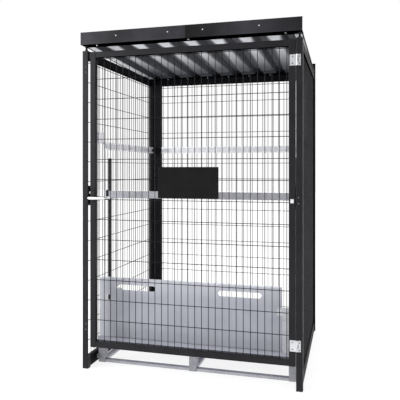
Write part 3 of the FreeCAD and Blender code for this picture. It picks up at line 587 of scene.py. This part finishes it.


# The rails and rear stiles take the darker copy of the coat: painted shade.
coat(shaded_frame_coat, *RAILS, "rear_stiles")
rail_seams = []
for rail in RAILS:
    rail_low, rail_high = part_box(rail)
    rail_seams += end_loops(rail_low, rail_high, 0 if rail.startswith("rear") else 1)
stile_low, stile_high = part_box("rear_stiles")
for start in (stile_low[0], stile_high[0] - REAR_STILE_WIDTH):
    corner_low = (start, stile_low[1], stile_low[2])
    corner_high = (start + REAR_STILE_WIDTH, stile_high[1], stile_high[2])
    rail_seams += end_loops(corner_low, corner_high, 2)
weld("rail_welds", rail_seams, "frame", "frame_black", frame_coat, bead_size=0.0024, step=0.0036)

# The wall mats are welded mesh of 5 mm round wire, uprights outside and cross wires inside, with a
# small weld nugget at every crossing. They butt against the rails and posts, the cross wires of the
# side mats against the front sheet of the open posts, and are coated with them.
WIRE = 0.005
WIRE_SIDES = 10
WIRE_PITCH = 0.050
ROW_PITCH = 0.150
WALL_ROW_MARGIN = 0.020
NUGGET_SHARE = 0.72
NUGGET_SHAPE = (1.0, 0.6, 1.0)
WIRE_DARK = (0.005, 0.005, 0.007)
WIRE_PALE = (0.010, 0.010, 0.013)
WIRE_ROUGH = (0.36, 0.5)
WIRE_SHEEN = 0.14
# A paler, shinier copy of the wire coat for the side mats: painted light on wires seen edge-on.
SIDE_WIRE_DARK = (0.010, 0.010, 0.012)
SIDE_WIRE_PALE = (0.018, 0.018, 0.021)
SIDE_WIRE_ROUGH = (0.30, 0.42)
SIDE_WIRE_SHEEN = 0.28
NEARLY = 1e-6

welded_mat, given = start_tree(
    "welded_mat",
    Uprights="Int",
    UprightStart="Float",
    UprightPitch="Float",
    Rows="Int",
    RowStart="Float",
    RowPitch="Float",
    Width="Float",
    Lead="Float",
    Height="Float",
    Wire="Float",
    Outer="Float",
    Corner="Vector",
    Turn="Vector",
    Finish="Material",
)


def mat_sum(operation, first, second):
    """One sum inside the mat's tree."""
    return sums(welded_mat, operation, first, second)


def mat_vector(**parts):
    """A vector inside the mat's tree."""
    return add(welded_mat, "ShaderNodeCombineXYZ", parts).outputs["Vector"]


half_wire = mat_sum("MULTIPLY", given["Wire"], 0.5)
out_side = mat_sum("MULTIPLY", half_wire, given["Outer"])
in_side = mat_sum("MULTIPLY", out_side, -1.0)
ring = add(welded_mat, "GeometryNodeCurvePrimitiveCircle", {"Resolution": WIRE_SIDES, "Radius": half_wire})
layers = []
for count, start, step, end in (
    (
        given["Uprights"],
        mat_vector(X=given["UprightStart"], Y=out_side),
        mat_vector(X=given["UprightPitch"]),
        mat_vector(Z=given["Height"]),
    ),
    (
        given["Rows"],
        mat_vector(X=mat_sum("MULTIPLY", given["Lead"], -1.0), Y=in_side, Z=given["RowStart"]),
        mat_vector(Z=given["RowPitch"]),
        mat_vector(X=mat_sum("ADD", given["Width"], given["Lead"])),
    ),
):
    core = add(welded_mat, "GeometryNodeCurvePrimitiveLine", {"End": end})
    wire = add(
        welded_mat,
        "GeometryNodeCurveToMesh",
        {"Curve": core.outputs["Curve"], "Profile Curve": ring.outputs["Curve"], "Fill Caps": True},
    )
    row = add(welded_mat, "GeometryNodeMeshLine", {"Count": count, "Start Location": start, "Offset": step})
    laid = {"Points": row.outputs["Mesh"], "Instance": wire.outputs["Mesh"]}
    layers.append(add(welded_mat, "GeometryNodeInstanceOnPoints", laid).outputs["Instances"])
span_across = mat_sum("MULTIPLY", mat_sum("SUBTRACT", given["Uprights"], 1.0), given["UprightPitch"])
span_up = mat_sum("MULTIPLY", mat_sum("SUBTRACT", given["Rows"], 1.0), given["RowPitch"])
crossings = add(
    welded_mat,
    "GeometryNodeMeshGrid",
    {"Size X": span_across, "Size Y": span_up, "Vertices X": given["Uprights"], "Vertices Y": given["Rows"]},
)
grid_middle = mat_vector(
    X=mat_sum("ADD", given["UprightStart"], mat_sum("MULTIPLY", span_across, 0.5)),
    Z=mat_sum("ADD", given["RowStart"], mat_sum("MULTIPLY", span_up, 0.5)),
)
stood = add(
    welded_mat,
    "GeometryNodeTransform",
    {
        "Geometry": crossings.outputs["Mesh"],
        "Translation": grid_middle,
        "Rotation": (math.pi / 2, 0.0, 0.0),
    },
)
nugget_size = mat_sum("MULTIPLY", given["Wire"], NUGGET_SHARE)
nugget = add(welded_mat, "GeometryNodeMeshUVSphere", {"Segments": 8, "Rings": 4, "Radius": nugget_size})
nuggets = add(
    welded_mat,
    "GeometryNodeInstanceOnPoints",
    {
        "Points": stood.outputs["Geometry"],
        "Instance": nugget.outputs["Mesh"],
        "Scale": NUGGET_SHAPE,
    },
)
mat = add(welded_mat, "GeometryNodeJoinGeometry", {"Geometry": nuggets.outputs["Instances"]})
for layer in layers:
    welded_mat.links.new(layer, mat.inputs["Geometry"])
placed = add(
    welded_mat,
    "GeometryNodeTransform",
    {"Geometry": mat.outputs["Geometry"], "Translation": given["Corner"], "Rotation": given["Turn"]},
)
smooth = add(welded_mat, "GeometryNodeSetShadeSmooth", {"Geometry": placed.outputs["Geometry"]})
end_tree(welded_mat, smooth.outputs["Geometry"], given["Finish"])


def weave(name, body, node, finish, outer, row_margin, lead=0.0):
    """One mat in place of the frame's node, with the node's own spacing; cross wires may start sooner."""
    low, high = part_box(node)
    height = high[2] - low[2]
    if high[0] - low[0] > high[1] - low[1]:
        width = high[0] - low[0]
        corner = (low[0], (low[1] + high[1]) / 2, low[2])
        turn_up = 0.0
    else:
        width = high[1] - low[1]
        corner = ((low[0] + high[0]) / 2, low[1], low[2])
        turn_up = math.pi / 2
    bays = math.floor((width - 2 * WIRE) / WIRE_PITCH + NEARLY)
    rows = math.floor((height - row_margin - WIRE) / ROW_PITCH + NEARLY)
    piece = grow(
        name,
        welded_mat,
        bpy.data.meshes.new(f"{name}_start"),
        body,
        "wire_black",
        Uprights=bays + 1,
        UprightStart=(width - bays * WIRE_PITCH) / 2,
        UprightPitch=WIRE_PITCH,
        Rows=rows + 1,
        RowStart=height - row_margin - rows * ROW_PITCH,
        RowPitch=ROW_PITCH,
        Width=width,
        Lead=lead,
        Height=height,
        Wire=WIRE,
        Outer=outer,
        Corner=corner,
        Turn=(0.0, 0.0, turn_up),
        Finish=finish,
    )
    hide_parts(node)


wire_coat = powder_coat("wire_black_coat", WIRE_DARK, WIRE_PALE, WIRE_ROUGH, WIRE_SHEEN)
# The side mats take the paler copy of the wire coat: painted light.
wire_coat_painted_light = powder_coat(
    "wire_coat_painted_light", SIDE_WIRE_DARK, SIDE_WIRE_PALE, SIDE_WIRE_ROUGH, SIDE_WIRE_SHEEN
)
for side, outer in (("left", 1.0), ("right", -1.0)):
    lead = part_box(f"mesh_{side}")[0][1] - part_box(f"post_front_{side}")[0][1] - POST_SHEET
    weave(f"wall_mat_{side}", "frame", f"mesh_{side}", wire_coat_painted_light, outer, WALL_ROW_MARGIN, lead)
weave("wall_mat_rear", "frame", "mesh_rear", wire_coat, outer=1.0, row_margin=WALL_ROW_MARGIN)

# Strapping rails: channels rolled from galvanised strip, bolted through the wire mats at chest height,
# with a flat plate at the front of each side one. Straps hook over their lips.
STRAP_SHEET = 0.003
STRAP_ENDS = 0.045
STRAP_PLATE = 0.150
STRAP_DULL = (0.82, 0.822, 0.87)
STRAP_PALE = (0.93, 0.932, 0.97)
HEX_HEAD = 6
strap_zinc = galvanised_steel("galvanised_strap_rail", STRAP_DULL, STRAP_PALE, SPANGLE)
coat(strap_zinc, "strap_rail_left", "strap_rail_right", "strap_rail_rear")
strap_low, strap_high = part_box("strap_rail_rear")
height = (strap_low[2] + strap_high[2]) / 2
face = strap_high[1] - STRAP_SHEET
strap_spots = (strap_low[0] + STRAP_ENDS, 0.0, strap_high[0] - STRAP_ENDS)
strap_places = [((across, face, height), FORWARD) for across in strap_spots]
for side, sign in (("left", 1.0), ("right", -1.0)):
    strap_low, strap_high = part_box(f"strap_rail_{side}")
    face = strap_low[0] + STRAP_SHEET if side == "left" else strap_high[0] - STRAP_SHEET
    first = strap_low[1] + STRAP_PLATE + STRAP_ENDS
    last = strap_high[1] - STRAP_ENDS
    for along in (first, (first + last) / 2, last):
        strap_places.append(((face, along, height), (sign, 0.0, 0.0)))
fasten(
    "strap_bolts",
    strap_places,
    "frame",
    "bright_zinc",
    zinc,
    Sides=HEX_HEAD,
    Head=0.0075,
    Height=0.0053,
    Washer=0.0105,
    Thickness=0.0016,
    Drive=0.35,
)

# The roof: folded black fascias at front and rear, splice plates at their joints, two ribbed steel
# sheets that fall to the rear, and slim angles on their edges. Two threaded studs lift the front.
SHEET_DARK = (0.018, 0.020, 0.027)
SHEET_PALE = (0.030, 0.033, 0.043)
LINING_DULL = (0.60, 0.615, 0.65)
LINING_PALE = (0.70, 0.715, 0.745)
SHEET_PATCHES = 8.0
SHEET_CLOUDS = 30.0
SHEET_ROUGH = (0.46, 0.58)
SHEET_SHEEN = 0.15
SHEET_PEEL = 500.0
SHEET_PEEL_DEPTH = 0.0001
FASCIA_SCREWS = (-0.530, -0.131, 0.127, 0.525)
FASCIA_SCREW_HEIGHT = 2.472
FLANGE_SHEET = 0.003
ROOF_FALL = 40.0 / 1369.0
RIB_PITCH = 0.2025
VALLEYS_ASIDE = 3
# Painted shade on the lining: where the pale flats give way to the darkened ribs, and how far back the lining
# darkens.
FLAT_NARROWS = (-0.64, -0.42)
FLAT_PALE = (0.034, 0.002)
FLAT_EDGE = (0.056, 0.052)
PAINTED_SHADE_TO_REAR = (-0.60, 0.45)
LAST_RIB = 0.7525
SHEET_HEM = 0.803
# Painted reflection: how much the front fascias' tone is lifted along their length.
FASCIA_REFLECTION_LEFT = ((0.0, 3.2), (0.33, 1.2), (0.62, 2.6), (1.0, 1.8))
FASCIA_REFLECTION_RIGHT = ((0.0, 0.05), (0.25, 0.9), (0.55, 2.8), (0.8, 1.6), (1.0, 1.0))
REFLECTION_MOST = 4.0
SHEET_TOP = 0.0010
SHEET_LAP = 0.0009
FRONT_SCREW_ROW = -0.690
REAR_SCREW_ROW = 0.660
FLANGE_BOLT_ROW = -0.714
FLANGE_BOLTS = (-0.700, 0.012, 0.700)
DOWN = (0.0, 0.0, -1.0)


def two_sided_sheet(name):
    """Coil-coated sheet: anthracite above; below, pale flats with painted shade towards the ribs and towards
    the low end, none in the outer valley on the left.
    """
    finish, tree, shader, place = start_finish(name)
    patches = cloud(tree, place, SHEET_PATCHES)
    above = colours(tree, patches, SHEET_DARK, SHEET_PALE)
    lining = colours(tree, patches, LINING_DULL, LINING_PALE)
    spot = add(tree, "ShaderNodeSeparateXYZ", {"Vector": place}).outputs
    aside = sums(tree, "PINGPONG", spot["X"], RIB_PITCH / 2)
    pale_edge = ranged(tree, spot["Y"], FLAT_NARROWS, *FLAT_PALE)
    rib_edge = ranged(tree, spot["Y"], FLAT_NARROWS, *FLAT_EDGE)
    # Painted shade: the flats darken into the ribs, and the whole lining darkens towards the low rear end.
    rib_shade = ranged(tree, aside, (pale_edge, rib_edge), curve="SMOOTHSTEP")
    rear_shade = ranged(tree, spot["Y"], PAINTED_SHADE_TO_REAR, curve="SMOOTHSTEP")
    on_top = sums(tree, "GREATER_THAN", upward(tree), 0.0)
    # No painted shade in the outer valley on the left; it stays pale.
    inboard_of_outer_valley = sums(tree, "GREATER_THAN", spot["X"], -LAST_RIB)
    ribbed = sums(tree, "LESS_THAN", spot["X"], LAST_RIB)
    hem = sums(tree, "GREATER_THAN", spot["X"], SHEET_HEM)
    dark_share = sums(tree, "MULTIPLY", rib_shade, ribbed)
    dark_share = sums(tree, "MAXIMUM", dark_share, rear_shade)
    dark_share = sums(tree, "MULTIPLY", dark_share, inboard_of_outer_valley)
    dark_share = sums(tree, "MAXIMUM", dark_share, hem)
    dark_share = sums(tree, "MAXIMUM", dark_share, on_top)
    tree.links.new(blended(tree, dark_share, lining, above), shader.inputs["Base Color"])
    roughness = ranged(tree, cloud(tree, place, SHEET_CLOUDS), PATTERN_MIDDLE, *SHEET_ROUGH)
    tree.links.new(roughness, shader.inputs["Roughness"])
    shader.inputs["Specular IOR Level"].default_value = SHEET_SHEEN
    relief(tree, shader, cloud(tree, place, SHEET_PEEL, detail=2.0), SHEET_PEEL_DEPTH)
    return finish


def coat_with_painted_reflection(node, reflection_stops):
    """The frame's coat on a long face that bows a little, with a painted reflection that makes its tone rise
    and fall along the length.
    """
    finish = powder_coat(f"{node}_coat", COAT_DARK, COAT_PALE, COAT_ROUGH, COAT_SHEEN)
    tree = finish.node_tree
    base = tree.nodes["Principled BSDF"].inputs["Base Color"]
    place = add(tree, "ShaderNodeTexCoord").outputs["Object"]
    across = add(tree, "ShaderNodeSeparateXYZ", {"Vector": place}).outputs["X"]
    low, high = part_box(node)
    along = ranged(tree, across, (low[0], high[0]))
    ramp = add(tree, "ShaderNodeValToRGB", {"Fac": along})
    stops = ramp.color_ramp.elements
    while len(stops) < len(reflection_stops):
        stops.new(0.5)
    for stop, (share, lift) in zip(stops, reflection_stops):
        stop.position = share
        stop.color = (lift / REFLECTION_MOST, lift / REFLECTION_MOST, lift / REFLECTION_MOST, 1.0)
    lifted = {0: base.links[0].from_socket, 1: ramp.outputs["Color"]}
    shaded = add(tree, "ShaderNodeVectorMath", lifted, operation="MULTIPLY").outputs["Vector"]
    reflected = add(tree, "ShaderNodeVectorMath", {0: shaded, "Scale": REFLECTION_MOST}, operation="SCALE")
    tree.links.new(reflected.outputs["Vector"], base)
    return finish


# The front fascias carry a painted reflection along their length.
coat(coat_with_painted_reflection("fascia_front_left", FASCIA_REFLECTION_LEFT), "fascia_front_left")
coat(coat_with_painted_reflection("fascia_front_right", FASCIA_REFLECTION_RIGHT), "fascia_front_right")
# The rear fascias and splices take the darker copy of the coat: painted shade.
coat(shaded_frame_coat, "fascia_rear_left", "fascia_rear_right", "fascia_splices")
coat(frame_coat, "verge_trim_left", "verge_trim_right", "roof_studs")
coat(two_sided_sheet("ribbed_roof_sheet"), "roof_sheet_left", "roof_sheet_right")
fascia_low, fascia_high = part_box("fascia_front_left")
fasten(
    "fascia_screws",
    [((across, fascia_low[1], FASCIA_SCREW_HEIGHT), FORWARD) for across in FASCIA_SCREWS],
    "frame",
    "bright_zinc",
    zinc,
    Sides=ROUND_HEAD,
    Head=0.0043,
    Height=0.0026,
    Washer=0.0050,
    Thickness=0.0007,
    Drive=0.5,
)
valleys = [step * RIB_PITCH for step in range(-VALLEYS_ASIDE, VALLEYS_ASIDE + 1)]
roof_seat = fascia_low[2] + FLANGE_SHEET
roof_places = []
for row in (FRONT_SCREW_ROW, REAR_SCREW_ROW):
    for across in valleys:
        lap = SHEET_LAP if across >= 0 else 0.0
        height = roof_seat - ROOF_FALL * (row - fascia_high[1]) + SHEET_TOP + lap
        roof_places.append(((across, row, height), (0.0, ROOF_FALL, 1.0)))
rear_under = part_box("fascia_rear_left")[0][2]
nut_places = [((across, FLANGE_BOLT_ROW, fascia_low[2]), DOWN) for across in FLANGE_BOLTS]
nut_places += [((across, REAR_SCREW_ROW, rear_under), DOWN) for across in valleys]
fasten(
    "roof_screws",
    roof_places,
    "frame",
    "roof_dark",
    frame_coat,
    Sides=HEX_HEAD,
    Head=0.0062,
    Height=0.0052,
    Washer=0.0105,
    Thickness=0.0022,
    Drive=0.3,
)
fasten(
    "roof_nuts",
    nut_places,
    "frame",
    "bright_zinc",
    dull_zinc,
    Sides=HEX_HEAD,
    Head=0.0062,
    Height=0.0055,
    Washer=0.0085,
    Thickness=0.0014,
    Drive=0.45,
)

# The door: two full-height stiles with rails between them, of rectangular tube welded at the corners,
# and a wire mat welded inside the frame. It is coated in one piece.
DOOR_ROW_MARGIN = 0.0075
coat(frame_coat, "door_stile_lock", "door_stile_hinge", "door_rail_top", "door_rail_bottom")
weave("door_mat", "door", "door_mesh", wire_coat, outer=-1.0, row_margin=DOOR_ROW_MARGIN)
door_seams = []
for rail in ("door_rail_top", "door_rail_bottom"):
    rail_low, rail_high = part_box(rail)
    inner = rail_low[2] if rail == "door_rail_top" else rail_high[2]
    for loop in end_loops(rail_low, rail_high, 0):
        door_seams.append([point for point in loop[:4] if abs(point[2] - inner) < NEARLY])
weld("door_welds", door_seams, "door", "frame_black", frame_coat, bead_size=0.0024, step=0.0034)

# Two butt hinges of bright zinc-plated steel: one leaf screwed to the post, one to the door stile,
# with knuckles around a plain pin.
HINGE_SCREW_RISE = 0.024
LEAF_FACE = -0.728
POST_SCREW_INSET = 0.008
DOOR_SCREW_INSET = 0.019
HINGE_DULL = (0.60, 0.61, 0.635)
HINGE_PALE = (0.74, 0.75, 0.775)
hinge_zinc = bright_zinc_plate("hinge_zinc_plate", HINGE_DULL, HINGE_PALE)
coat(hinge_zinc, "hinge_pins")
for side, body in (("post", "frame"), ("door", "door")):
    hinge_places = []
    for level in ("upper", "lower"):
        leaf = f"hinge_leaf_{level}_{side}"
        coat(hinge_zinc, leaf)
        leaf_low, leaf_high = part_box(leaf)
        across = leaf_high[0] - POST_SCREW_INSET if side == "post" else leaf_low[0] + DOOR_SCREW_INSET
        middle = (leaf_low[2] + leaf_high[2]) / 2
        for rise in (-HINGE_SCREW_RISE, HINGE_SCREW_RISE):
            hinge_places.append(((across, LEAF_FACE, middle + rise), FORWARD))
    fasten(
        f"hinge_screws_{side}",
        hinge_places,
        body,
        "bright_zinc",
        dull_zinc,
        Sides=ROUND_HEAD,
        Head=0.0046,
        Height=0.0015,
        Washer=0.0048,
        Thickness=0.0003,
        Drive=0.5,
    )

# The lever handles: cast and plated levers, one each side, on narrow black plates screwed to the lock
# stile. The outer plate has a small key barrel above the lever.
PIVOT = (-0.7295, 1.279)
ARM_START = -0.7535
ARM_END = -0.6175
ARM_HALF_RISE = 0.0099
ARM_END_HALF_RISE = 0.0082
ARM_HALF_THICK = 0.0054
ARM_END_HALF_THICK = 0.0044
ARM_NOSE = 0.005
ARM_INSET = 0.0055
ARM_STEPS = 28
ARM_SIDES = 20
ARM_SQUARENESS = 0.6
TIP_LEAST = 0.01
TIP_THICKNESS = 0.55
NECK_RADIUS = 0.0089
NECK_WAIST = 0.88
NECK_FOOT = (0.003, 0.007)
NECK_SHOULDER = 0.006
TURNED_SIDES = 24
KEY_BARREL = (-0.7295, 1.318)
BARREL_STEPS = ((0.0002, 0.0058), (-0.0009, 0.0058), (-0.0013, 0.0052), (-0.0013, 0.0034), (-0.0004, 0.0034))
PLATE_SCREW_RISES = (-0.022, 0.060)


def closed_rings(name, rings, finish):
    """A smooth closed skin over a row of rings, with the first and last ring filled."""
    shell = bmesh.new()
    rows = [[shell.verts.new(point) for point in points] for points in rings]
    around = len(rows[0])
    for near, far in zip(rows, rows[1:]):
        for step in range(around):
            following = (step + 1) % around
            shell.faces.new((near[step], near[following], far[following], far[step]))
    shell.faces.new(rows[0][::-1])
    shell.faces.new(rows[-1])
    bmesh.ops.recalc_face_normals(shell, faces=shell.faces)
    for face in shell.faces:
        face.smooth = len(face.verts) == 4
    mesh = bpy.data.meshes.new(name)
    shell.to_mesh(mesh)
    shell.free()
    mesh.materials.append(finish)
    return mesh


def join_meshes(name, meshes):
    """One mesh from several."""
    whole = bmesh.new()
    for mesh in meshes:
        whole.from_mesh(mesh)
    joined = bpy.data.meshes.new(name)
    whole.to_mesh(joined)
    whole.free()
    joined.materials.append(meshes[0].materials[0])
    return joined


def softened(turn_share):
    """A point on a circle of radius one, drawn out towards a square with soft corners."""
    angle = 2 * math.pi * turn_share
    across = math.copysign(abs(math.cos(angle)) ** ARM_SQUARENESS, math.cos(angle))
    up = math.copysign(abs(math.sin(angle)) ** ARM_SQUARENESS, math.sin(angle))
    return across, up


def lever_arm(name, middle_y, finish):
    """A slim arm, round at the pivot end and tapering to a soft free end."""
    rings = []
    for step in range(ARM_STEPS + 1):
        along = (1 - math.cos(step / ARM_STEPS * math.pi)) / 2
        x = ARM_START + along * (ARM_END - ARM_START)
        half_rise = ARM_HALF_RISE + (ARM_END_HALF_RISE - ARM_HALF_RISE) * along
        half_thick = ARM_HALF_THICK + (ARM_END_HALF_THICK - ARM_HALF_THICK) * along
        nose = ARM_HALF_RISE if x - ARM_START < ARM_END - x else ARM_NOSE
        reach = min(min(x - ARM_START, ARM_END - x) / nose, 1.0)
        close = math.sqrt(max(1 - (1 - reach) ** 2, TIP_LEAST))
        squeeze = TIP_THICKNESS + (1 - TIP_THICKNESS) * close
        points = []
        for corner in range(ARM_SIDES):
            across, up = softened(corner / ARM_SIDES)
            y = middle_y + half_thick * squeeze * across
            points.append((x, y, PIVOT[1] + half_rise * close * up))
        rings.append(points)
    return closed_rings(name, rings, finish)


def turned(name, middle, steps, finish):
    """A turned piece along the depth: steps of depth and radius."""
    rings = []
    for depth, radius in steps:
        angles = [2 * math.pi * corner / TURNED_SIDES for corner in range(TURNED_SIDES)]
        arc = [(radius * math.cos(angle), radius * math.sin(angle)) for angle in angles]
        rings.append([(middle[0] + x, depth, middle[1] + z) for x, z in arc])
    return closed_rings(name, rings, finish)


coat(frame_coat, "handle_plates")
coat(zinc, "lever_spindle", "latch_bolt", "lock_case")
for side, sign in (("outer", -1.0), ("inner", 1.0)):
    arm_low, arm_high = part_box(f"lever_{side}")
    arm_tip = arm_low[1] if side == "outer" else arm_high[1]
    seat = arm_high[1] if side == "outer" else arm_low[1]
    arm_middle = arm_tip - sign * ARM_INSET
    neck_steps = [
        (seat, NECK_RADIUS),
        (seat + sign * NECK_FOOT[0], NECK_RADIUS),
        (seat + sign * NECK_FOOT[1], NECK_RADIUS * NECK_WAIST),
        (arm_middle - sign * NECK_SHOULDER, NECK_RADIUS * NECK_WAIST),
        (arm_middle, NECK_RADIUS),
    ]
    neck = turned(f"lever_{side}_neck", PIVOT, neck_steps, zinc)
    arm = lever_arm(f"lever_{side}_arm", arm_middle, zinc)
    shape = join_meshes(f"lever_{side}_shape", (neck, arm))
    lever = settle(f"lever_{side}_cast", shape, "lever")
    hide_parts(f"lever_{side}")
plate_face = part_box("handle_plates")[0][1]
barrel_steps = [(plate_face + out, radius) for out, radius in BARREL_STEPS]
settle("key_barrel", turned("key_barrel_shape", KEY_BARREL, barrel_steps, plastic), "door")
fasten(
    "plate_screws",
    [((PIVOT[0], plate_face, PIVOT[1] + rise), FORWARD) for rise in PLATE_SCREW_RISES],
    "door",
    "frame_black",
    frame_coat,
    Sides=ROUND_HEAD,
    Head=0.0036,
    Height=0.0014,
    Washer=0.0040,
    Thickness=0.0003,
    Drive=0.5,
)

# The strike is a black angle on the lock post that the latch snaps behind. On the hinge stile a small
# pressed cover of plated steel closes the spare lock cut-out.
coat(frame_coat, "strike_plate")
coat(zinc, "blanking_cover")

# The sign is a bare black plate of coated sheet in the middle of the door. It is held to the wires
# behind it by a rivet in each corner.
SIGN_DARK = (0.004, 0.004, 0.0045)
SIGN_PALE = (0.007, 0.007, 0.0075)
SIGN_ROUGH = (0.28, 0.38)
SIGN_SHEEN = 0.14
RIVET_INSET = 0.014
coat(powder_coat("sign_black_coat", SIGN_DARK, SIGN_PALE, SIGN_ROUGH, SIGN_SHEEN), "sign_plate")
sign_low, sign_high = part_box("sign_plate")
rivet_places = []
for across in (sign_low[0] + RIVET_INSET, sign_high[0] - RIVET_INSET):
    for height in (sign_low[2] + RIVET_INSET, sign_high[2] - RIVET_INSET):
        rivet_places.append(((across, sign_low[1], height), FORWARD))
fasten(
    "sign_rivets",
    rivet_places,
    "door",
    "frame_black",
    frame_coat,
    Sides=ROUND_HEAD,
    Head=0.0032,
    Height=0.0013,
    Washer=0.0044,
    Thickness=0.0004,
    Drive=0.4,
)

# The rack: two black uprights on the deck with open cradles, and a galvanised tube that drops into
# them to keep what stands behind it upright.
rack_zinc = galvanised_steel("galvanised_bar", ZINC_DULL, ZINC_PALE, SPANGLE)
coat(frame_coat, "rack_upright_left", "rack_upright_right", "bar_cradles")
coat(rack_zinc, "retaining_bar")

# The front panel: a galvanised sheet folded back all round, with two hand slots. Its hooks drop over
# two flat sockets that stand on the deck, so it lifts straight out.
PANEL_DULL = (0.40, 0.41, 0.475)
PANEL_PALE = (0.45, 0.46, 0.525)
PANEL_SPANGLE = 0.12
# Painted light: how much paler the panel turns towards its left end and its top, and over what distance.
PANEL_BRIGHT = (0.62, 0.63, 0.69, 1.0)
PANEL_TOP_SHARE = 0.55
PANEL_LIT_ASIDE = (0.17, 0.02)
PANEL_LIT_DOWN = (0.15, 0.03)


def sheet_with_painted_light(name, node):
    """Dipped sheet with painted light: paler towards its left end and along the top."""
    finish = galvanised_steel(name, PANEL_DULL, PANEL_PALE, PANEL_SPANGLE)
    tree = finish.node_tree
    base = tree.nodes["Principled BSDF"].inputs["Base Color"]
    place = add(tree, "ShaderNodeTexCoord").outputs["Object"]
    spot = add(tree, "ShaderNodeSeparateXYZ", {"Vector": place}).outputs
    low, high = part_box(node)
    end_limits = [low[0] + run for run in PANEL_LIT_ASIDE]
    at_end = ranged(tree, spot["X"], end_limits, curve="SMOOTHSTEP")
    top_limits = [high[2] - run for run in PANEL_LIT_DOWN]
    at_top = ranged(tree, spot["Z"], top_limits, high=PANEL_TOP_SHARE, curve="SMOOTHSTEP")
    share = sums(tree, "MAXIMUM", at_end, at_top)
    tree.links.new(blended(tree, share, base.links[0].from_socket, PANEL_BRIGHT), base)
    return finish


coat(sheet_with_painted_light("galvanised_panel", "front_panel"), "front_panel")
coat(rack_zinc, "panel_hooks", "panel_sockets")

# A plain pale floor that glows enough to stay pale in the shade, a white studio that is dimmer to the
# right of the camera but looks white all round, soft large lamps, and the camera of the photograph.
FLOOR_DULL = (0.20, 0.20, 0.20)
FLOOR_PALE = (0.22, 0.22, 0.22)
FLOOR_PATCHES = 2.0
FLOOR_ROUGH = 0.85
FLOOR_GLOW = 0.82
FLOOR_HALF = 30.0
FLOOR_CORNERS = ((-1, -1), (1, -1), (1, 1), (-1, 1))
WHITE = (1.0, 1.0, 1.0, 1.0)
LAMPS = (
    ("key_lamp", (-5.2, -3.8, 3.0), 3.0, 280.0),
    ("side_lamp", (-4.0, 0.2, 1.0), 2.0, 110.0),
    ("rear_lamp", (-0.6, 4.6, 4.2), 3.2, 60.0),
)
LAMP_AIM = (0.0, 0.0, 1.2)
DIM_ASIDE = (-0.9, 0.1)
DIM_IN_FRONT = (0.1, -0.3)
DIM_LEVEL = 0.35
CEILING_START = (0.4, 0.6)
CEILING_LEVEL = 0.5
CAMERA_PLACE = (1.107, -4.374, 1.50)
CAMERA_TURN = (math.radians(90.0), 0.0, math.radians(15.42))
LENS_LENGTH = 48.3
SENSOR_WIDTH = 36.0
LENS_SHIFT = -0.079
VIEW_END = 100.0
floor_mesh = bpy.data.meshes.new("floor")
floor_mesh.from_pydata([(FLOOR_HALF * x, FLOOR_HALF * y, 0.0) for x, y in FLOOR_CORNERS], [], [(0, 1, 2, 3)])
floor_finish, tree, shader, place = start_finish("floor_pale")
floor_colour = colours(tree, cloud(tree, place, FLOOR_PATCHES), FLOOR_DULL, FLOOR_PALE)
tree.links.new(floor_colour, shader.inputs["Base Color"])
shader.inputs["Roughness"].default_value = FLOOR_ROUGH
shader.inputs["Emission Color"].default_value = WHITE
shader.inputs["Emission Strength"].default_value = FLOOR_GLOW
floor_mesh.materials.append(floor_finish)
floor = bpy.data.objects.new("floor", floor_mesh)
bpy.context.scene.collection.objects.link(floor)
for name, lamp_place, size, power in LAMPS:
    lamp = bpy.data.lights.new(name, "AREA")
    lamp.shape = "DISK"
    lamp.size = size
    lamp.energy = power
    lamp_object = bpy.data.objects.new(name, lamp)
    lamp_object.location = lamp_place
    aim = Vector(LAMP_AIM) - Vector(lamp_place)
    lamp_object.rotation_euler = aim.to_track_quat("-Z", "Y").to_euler()
    bpy.context.scene.collection.objects.link(lamp_object)
world = bpy.data.worlds.new("studio")
world.use_nodes = True
tree = world.node_tree
toward = add(tree, "ShaderNodeTexCoord").outputs["Generated"]
toward = add(tree, "ShaderNodeSeparateXYZ", {"Vector": toward}).outputs
on_right = ranged(tree, toward["X"], DIM_ASIDE)
in_front = ranged(tree, toward["Y"], DIM_IN_FRONT)
unlit = sums(tree, "MULTIPLY", on_right, in_front)
walls = ranged(tree, unlit, (0.0, 1.0), 1.0, DIM_LEVEL)
ceiling = ranged(tree, toward["Z"], CEILING_START, 0.0, CEILING_LEVEL)
seen = add(tree, "ShaderNodeLightPath").outputs["Is Camera Ray"]
brightness = sums(tree, "MAXIMUM", sums(tree, "ADD", walls, ceiling), seen)
tree.nodes["Background"].inputs["Color"].default_value = WHITE
tree.links.new(brightness, tree.nodes["Background"].inputs["Strength"])
bpy.context.scene.world = world
bpy.context.scene.view_settings.view_transform = "Standard"
lens = bpy.data.cameras.new("camera")
lens.lens = LENS_LENGTH
lens.sensor_width = SENSOR_WIDTH
lens.shift_y = LENS_SHIFT
lens.clip_end = VIEW_END
camera = bpy.data.objects.new("camera", lens)
camera.location = CAMERA_PLACE
camera.rotation_euler = CAMERA_TURN
bpy.context.scene.collection.objects.link(camera)
bpy.context.scene.camera = camera
